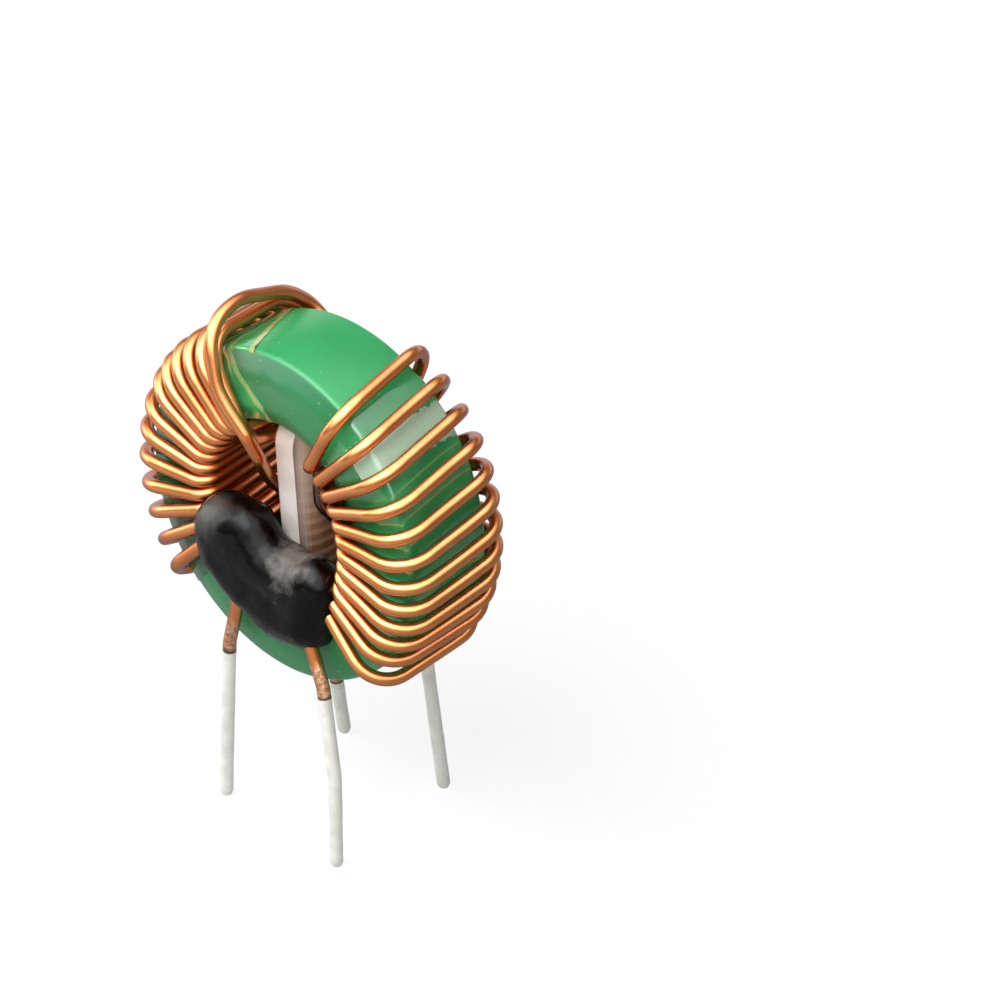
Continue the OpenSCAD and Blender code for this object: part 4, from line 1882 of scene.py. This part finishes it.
@dataclass
class Studio:
    """A white table in a light tent, with the camera looking down on the choke from its right."""

    size: RingSize
    # Where the camera stands and what it takes in
    azimuth: float = 44.6
    elevation: float = 32.7
    distance: float = 1000.0
    aside: float = 12.37
    above: float = -0.049
    focal_px: float = 14210.0
    image_px: float = 990.0
    sensor: float = 36.0
    nearest: float = 50.0
    furthest: float = 20000.0
    # The room: its light, the white sweep that gloss finds low down and the dome overhead
    ambient: float = 0.14
    sweep_rise: Tuple[Tuple[float, float], ...] = ((0.2, 1.0), (0.4, 0.0))
    sweep_depth: Tuple[float, float] = (-0.25, 0.1)
    sweep_across: Tuple[float, float] = (-0.1, 0.4)
    sweep_levels: Tuple[float, float] = (1.2, 0.25)
    dome_towards: Place = (0.1, -0.32, 0.94)
    dome: Tuple[Tuple[float, float], ...] = ((0.14, 0.04), (0.43, 0.45), (0.61, 2.4), (0.82, 3.6))
    # The table, its glow where it is seen, and what gloss finds on it
    table_size: float = 2000.0
    table_back: float = 850.0
    table_grey: float = 0.8
    shown_grey: float = 0.22
    glow_reach: Tuple[float, float] = (60.0, 260.0)
    glow_levels: Tuple[float, float] = (0.84, 1.02)
    shade_reach: Tuple[float, float] = (10.0, 110.0)
    shade_levels: Tuple[float, float] = (0.42, 1.0)
    dim_towards: Place = (0.85, 0.53, 0.0)
    dim_reach: Tuple[float, float] = (-10.0, 90.0)
    dim_levels: Tuple[float, float] = (1.0, 0.3)
    softboxes: Tuple[Softbox, ...] = (
        Softbox("softbox_overhead", (-30, -190, 295), 400, 240, 4.4),
        Softbox("softbox_left", (-290, -90, 100), 190, 200, 3.2),
        Softbox("softbox_right", (300, -170, 150), 110, 110, 2.6))

    def camera(self) -> None:
        """Places the camera."""
        az, el = math.radians(self.azimuth), math.radians(self.elevation)
        right = Vector((math.cos(az), math.sin(az), 0))
        forward = Vector((-math.sin(az) * math.cos(el), math.cos(az) * math.cos(el), -math.sin(el)))
        up = right.cross(forward)
        place = self.size.centre + self.aside * right + self.above * up - self.distance * forward
        bpy.ops.object.camera_add()
        camera = bpy.context.object
        turn = Matrix((right, up, -forward)).transposed()
        camera.matrix_world = Matrix.Translation(place * MM) @ turn.to_4x4()
        camera.data.sensor_width = self.sensor
        camera.data.lens = self.focal_px / self.image_px * self.sensor
        camera.data.clip_start = self.nearest * MM
        camera.data.clip_end = self.furthest * MM
        bpy.context.scene.camera = camera

    def hang(self, box: Softbox) -> None:
        """Hangs a soft lamp that looks at the ring and isn't seen itself.

        Args:
            box: The lamp.
        """
        bpy.ops.object.light_add(type="AREA", location=Vector(box.place) * MM)
        lamp = bpy.context.object
        lamp.name = box.name
        lamp.data.shape = "RECTANGLE"
        lamp.data.size = box.width * MM
        lamp.data.size_y = box.height * MM
        lamp.data.energy = box.radiance * math.pi * box.width * box.height * MM * MM
        aim = self.size.centre - Vector(box.place)
        lamp.rotation_euler = aim.to_track_quat("-Z", "Y").to_euler()
        lamp.visible_camera = False

    def room(self) -> None:
        """Lights the room evenly. It looks white behind the table, and gloss finds the white sweep
        low down, the dim room above it and the bright dome overhead."""
        world = bpy.data.worlds.new("white_room")
        bpy.context.scene.world = world
        tree = emptied(world)
        place = add_node(tree, "ShaderNodeTexCoord").outputs["Generated"]
        parts = add_node(tree, "ShaderNodeSeparateXYZ", {0: place}).outputs
        low = add_node(tree, "ShaderNodeValToRGB", {0: parts["Z"]},
                       [(at, grey(level)) for at, level in self.sweep_rise])
        behind = add_node(tree, "ShaderNodeMapRange",
                          {"Value": parts["Y"], "From Min": self.sweep_depth[0],
                           "From Max": self.sweep_depth[1]})
        white = add_node(tree, "ShaderNodeMath", {0: low, 1: behind}, operation="MULTIPLY")
        leftward = add_node(tree, "ShaderNodeMapRange",
                            {"Value": parts["X"], "From Min": self.sweep_across[0],
                             "From Max": self.sweep_across[1], "To Min": self.sweep_levels[0],
                             "To Max": self.sweep_levels[1]})
        bright = add_node(tree, "ShaderNodeMath", {0: white, 1: leftward}, operation="MULTIPLY")
        overhead = add_node(tree, "ShaderNodeVectorMath", {0: place, 1: self.dome_towards},
                            operation="DOT_PRODUCT")
        dome = add_node(tree, "ShaderNodeValToRGB", {0: overhead},
                        [(at, grey(level)) for at, level in self.dome])
        found = add_node(tree, "ShaderNodeMath", {0: bright, 1: dome}, operation="MAXIMUM")
        lit = add_node(tree, "ShaderNodeBackground", {"Color": grey(1), "Strength": self.ambient})
        glossed = add_node(tree, "ShaderNodeBackground", {"Color": found, "Strength": 1.0})
        seen = add_node(tree, "ShaderNodeBackground", {"Color": grey(1), "Strength": 1.0})
        add_node(tree, "ShaderNodeOutputWorld", {"Surface": by_ray(tree, lit, glossed, seen)})

    def laminate(self) -> bpy.types.Material:
        """Builds the table's white, which is evened out where it is seen, so that only the choke's
        soft shadow stays.

        Returns:
            The material.
        """
        material = bpy.data.materials.new("white_laminate")
        tree = emptied(material)
        at = per_mm(tree)
        away = add_node(tree, "ShaderNodeVectorMath", {0: at}, operation="LENGTH")
        near = add_node(tree, "ShaderNodeMapRange",
                        {"Value": away, "From Min": self.glow_reach[0],
                         "From Max": self.glow_reach[1], "To Min": self.glow_levels[0],
                         "To Max": self.glow_levels[1]}, interpolation_type="SMOOTHSTEP")
        faint = add_node(tree, "ShaderNodeBsdfDiffuse", {"Color": grey(self.shown_grey)})
        glow = add_node(tree, "ShaderNodeEmission", {"Color": grey(1), "Strength": near})
        white = add_node(tree, "ShaderNodeAddShader", {0: faint, 1: glow})
        # Under the choke the table lies in its shade, which the wire's undersides reflect
        open_sky = add_node(tree, "ShaderNodeMapRange",
                            {"Value": away, "From Min": self.shade_reach[0],
                             "From Max": self.shade_reach[1], "To Min": self.shade_levels[0],
                             "To Max": self.shade_levels[1]})
        # The room is dimmer behind the choke on its right, which darkens the wire round the rim
        dimmer = add_node(tree, "ShaderNodeMapRange",
                          {"Value": along(tree, at, Vector((0, 0, 0)), self.dim_towards),
                           "From Min": self.dim_reach[0], "From Max": self.dim_reach[1],
                           "To Min": self.dim_levels[0], "To Max": self.dim_levels[1]})
        level = add_node(tree, "ShaderNodeMath", {0: open_sky, 1: dimmer}, operation="MULTIPLY")
        sheen = add_node(tree, "ShaderNodeEmission", {"Color": grey(1), "Strength": level})
        plain = add_node(tree, "ShaderNodeBsdfDiffuse", {"Color": grey(self.table_grey)})
        add_node(tree, "ShaderNodeOutputMaterial", {"Surface": by_ray(tree, plain, sheen, white)})
        return material

    def table(self) -> None:
        """Lays the white table top."""
        bpy.ops.object.select_all(action="DESELECT")
        bpy.ops.mesh.primitive_plane_add(size=self.table_size * MM,
                                         location=(0, self.table_back * MM, 0))
        top = bpy.context.object
        top.name = "table_top"
        settle(top)
        dress(top, self.laminate())

    def build(self) -> None:
        """Sets the studio up."""
        bpy.context.scene.view_settings.view_transform = "Standard"
        self.camera()
        self.room()
        self.table()
        for box in self.softboxes:
            self.hang(box)
        log.info("studio ready")


def main() -> None:
    """Builds the choke and the studio."""
    logging.basicConfig(level=logging.INFO, format="%(name)s: %(message)s")
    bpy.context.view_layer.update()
    noise.seed_set(SEED)
    size = RingSize()
    ring = CoatedRing(size)
    ring.build()
    SlantingTape(ring, "tape_left_film", "insulation_tape_left", first=110, last=228).build()
    # The right band carries a painted reflection between two of its turns
    Tape(ring, "tape_right_film", "insulation_tape_right", first=-52, last=60,
         glint=PaintedGlint(angle=44.3, half=1.3)).build()
    legs = Legs(size)
    legs.build(SolderTin().material())
    copper = EnamelledCopper().material()
    LeftWinding(size, legs).build(copper)
    RightWinding(size, legs).build(copper)
    Divider(size).build()
    silicone = BlackAdhesive().material()
    Adhesive(size, Side.FRONT, "adhesive_front").build(silicone)
    Adhesive(size, Side.BACK, "adhesive_back").build(silicone)
    Studio(size).build()


if __name__ == "__main__":
    main()
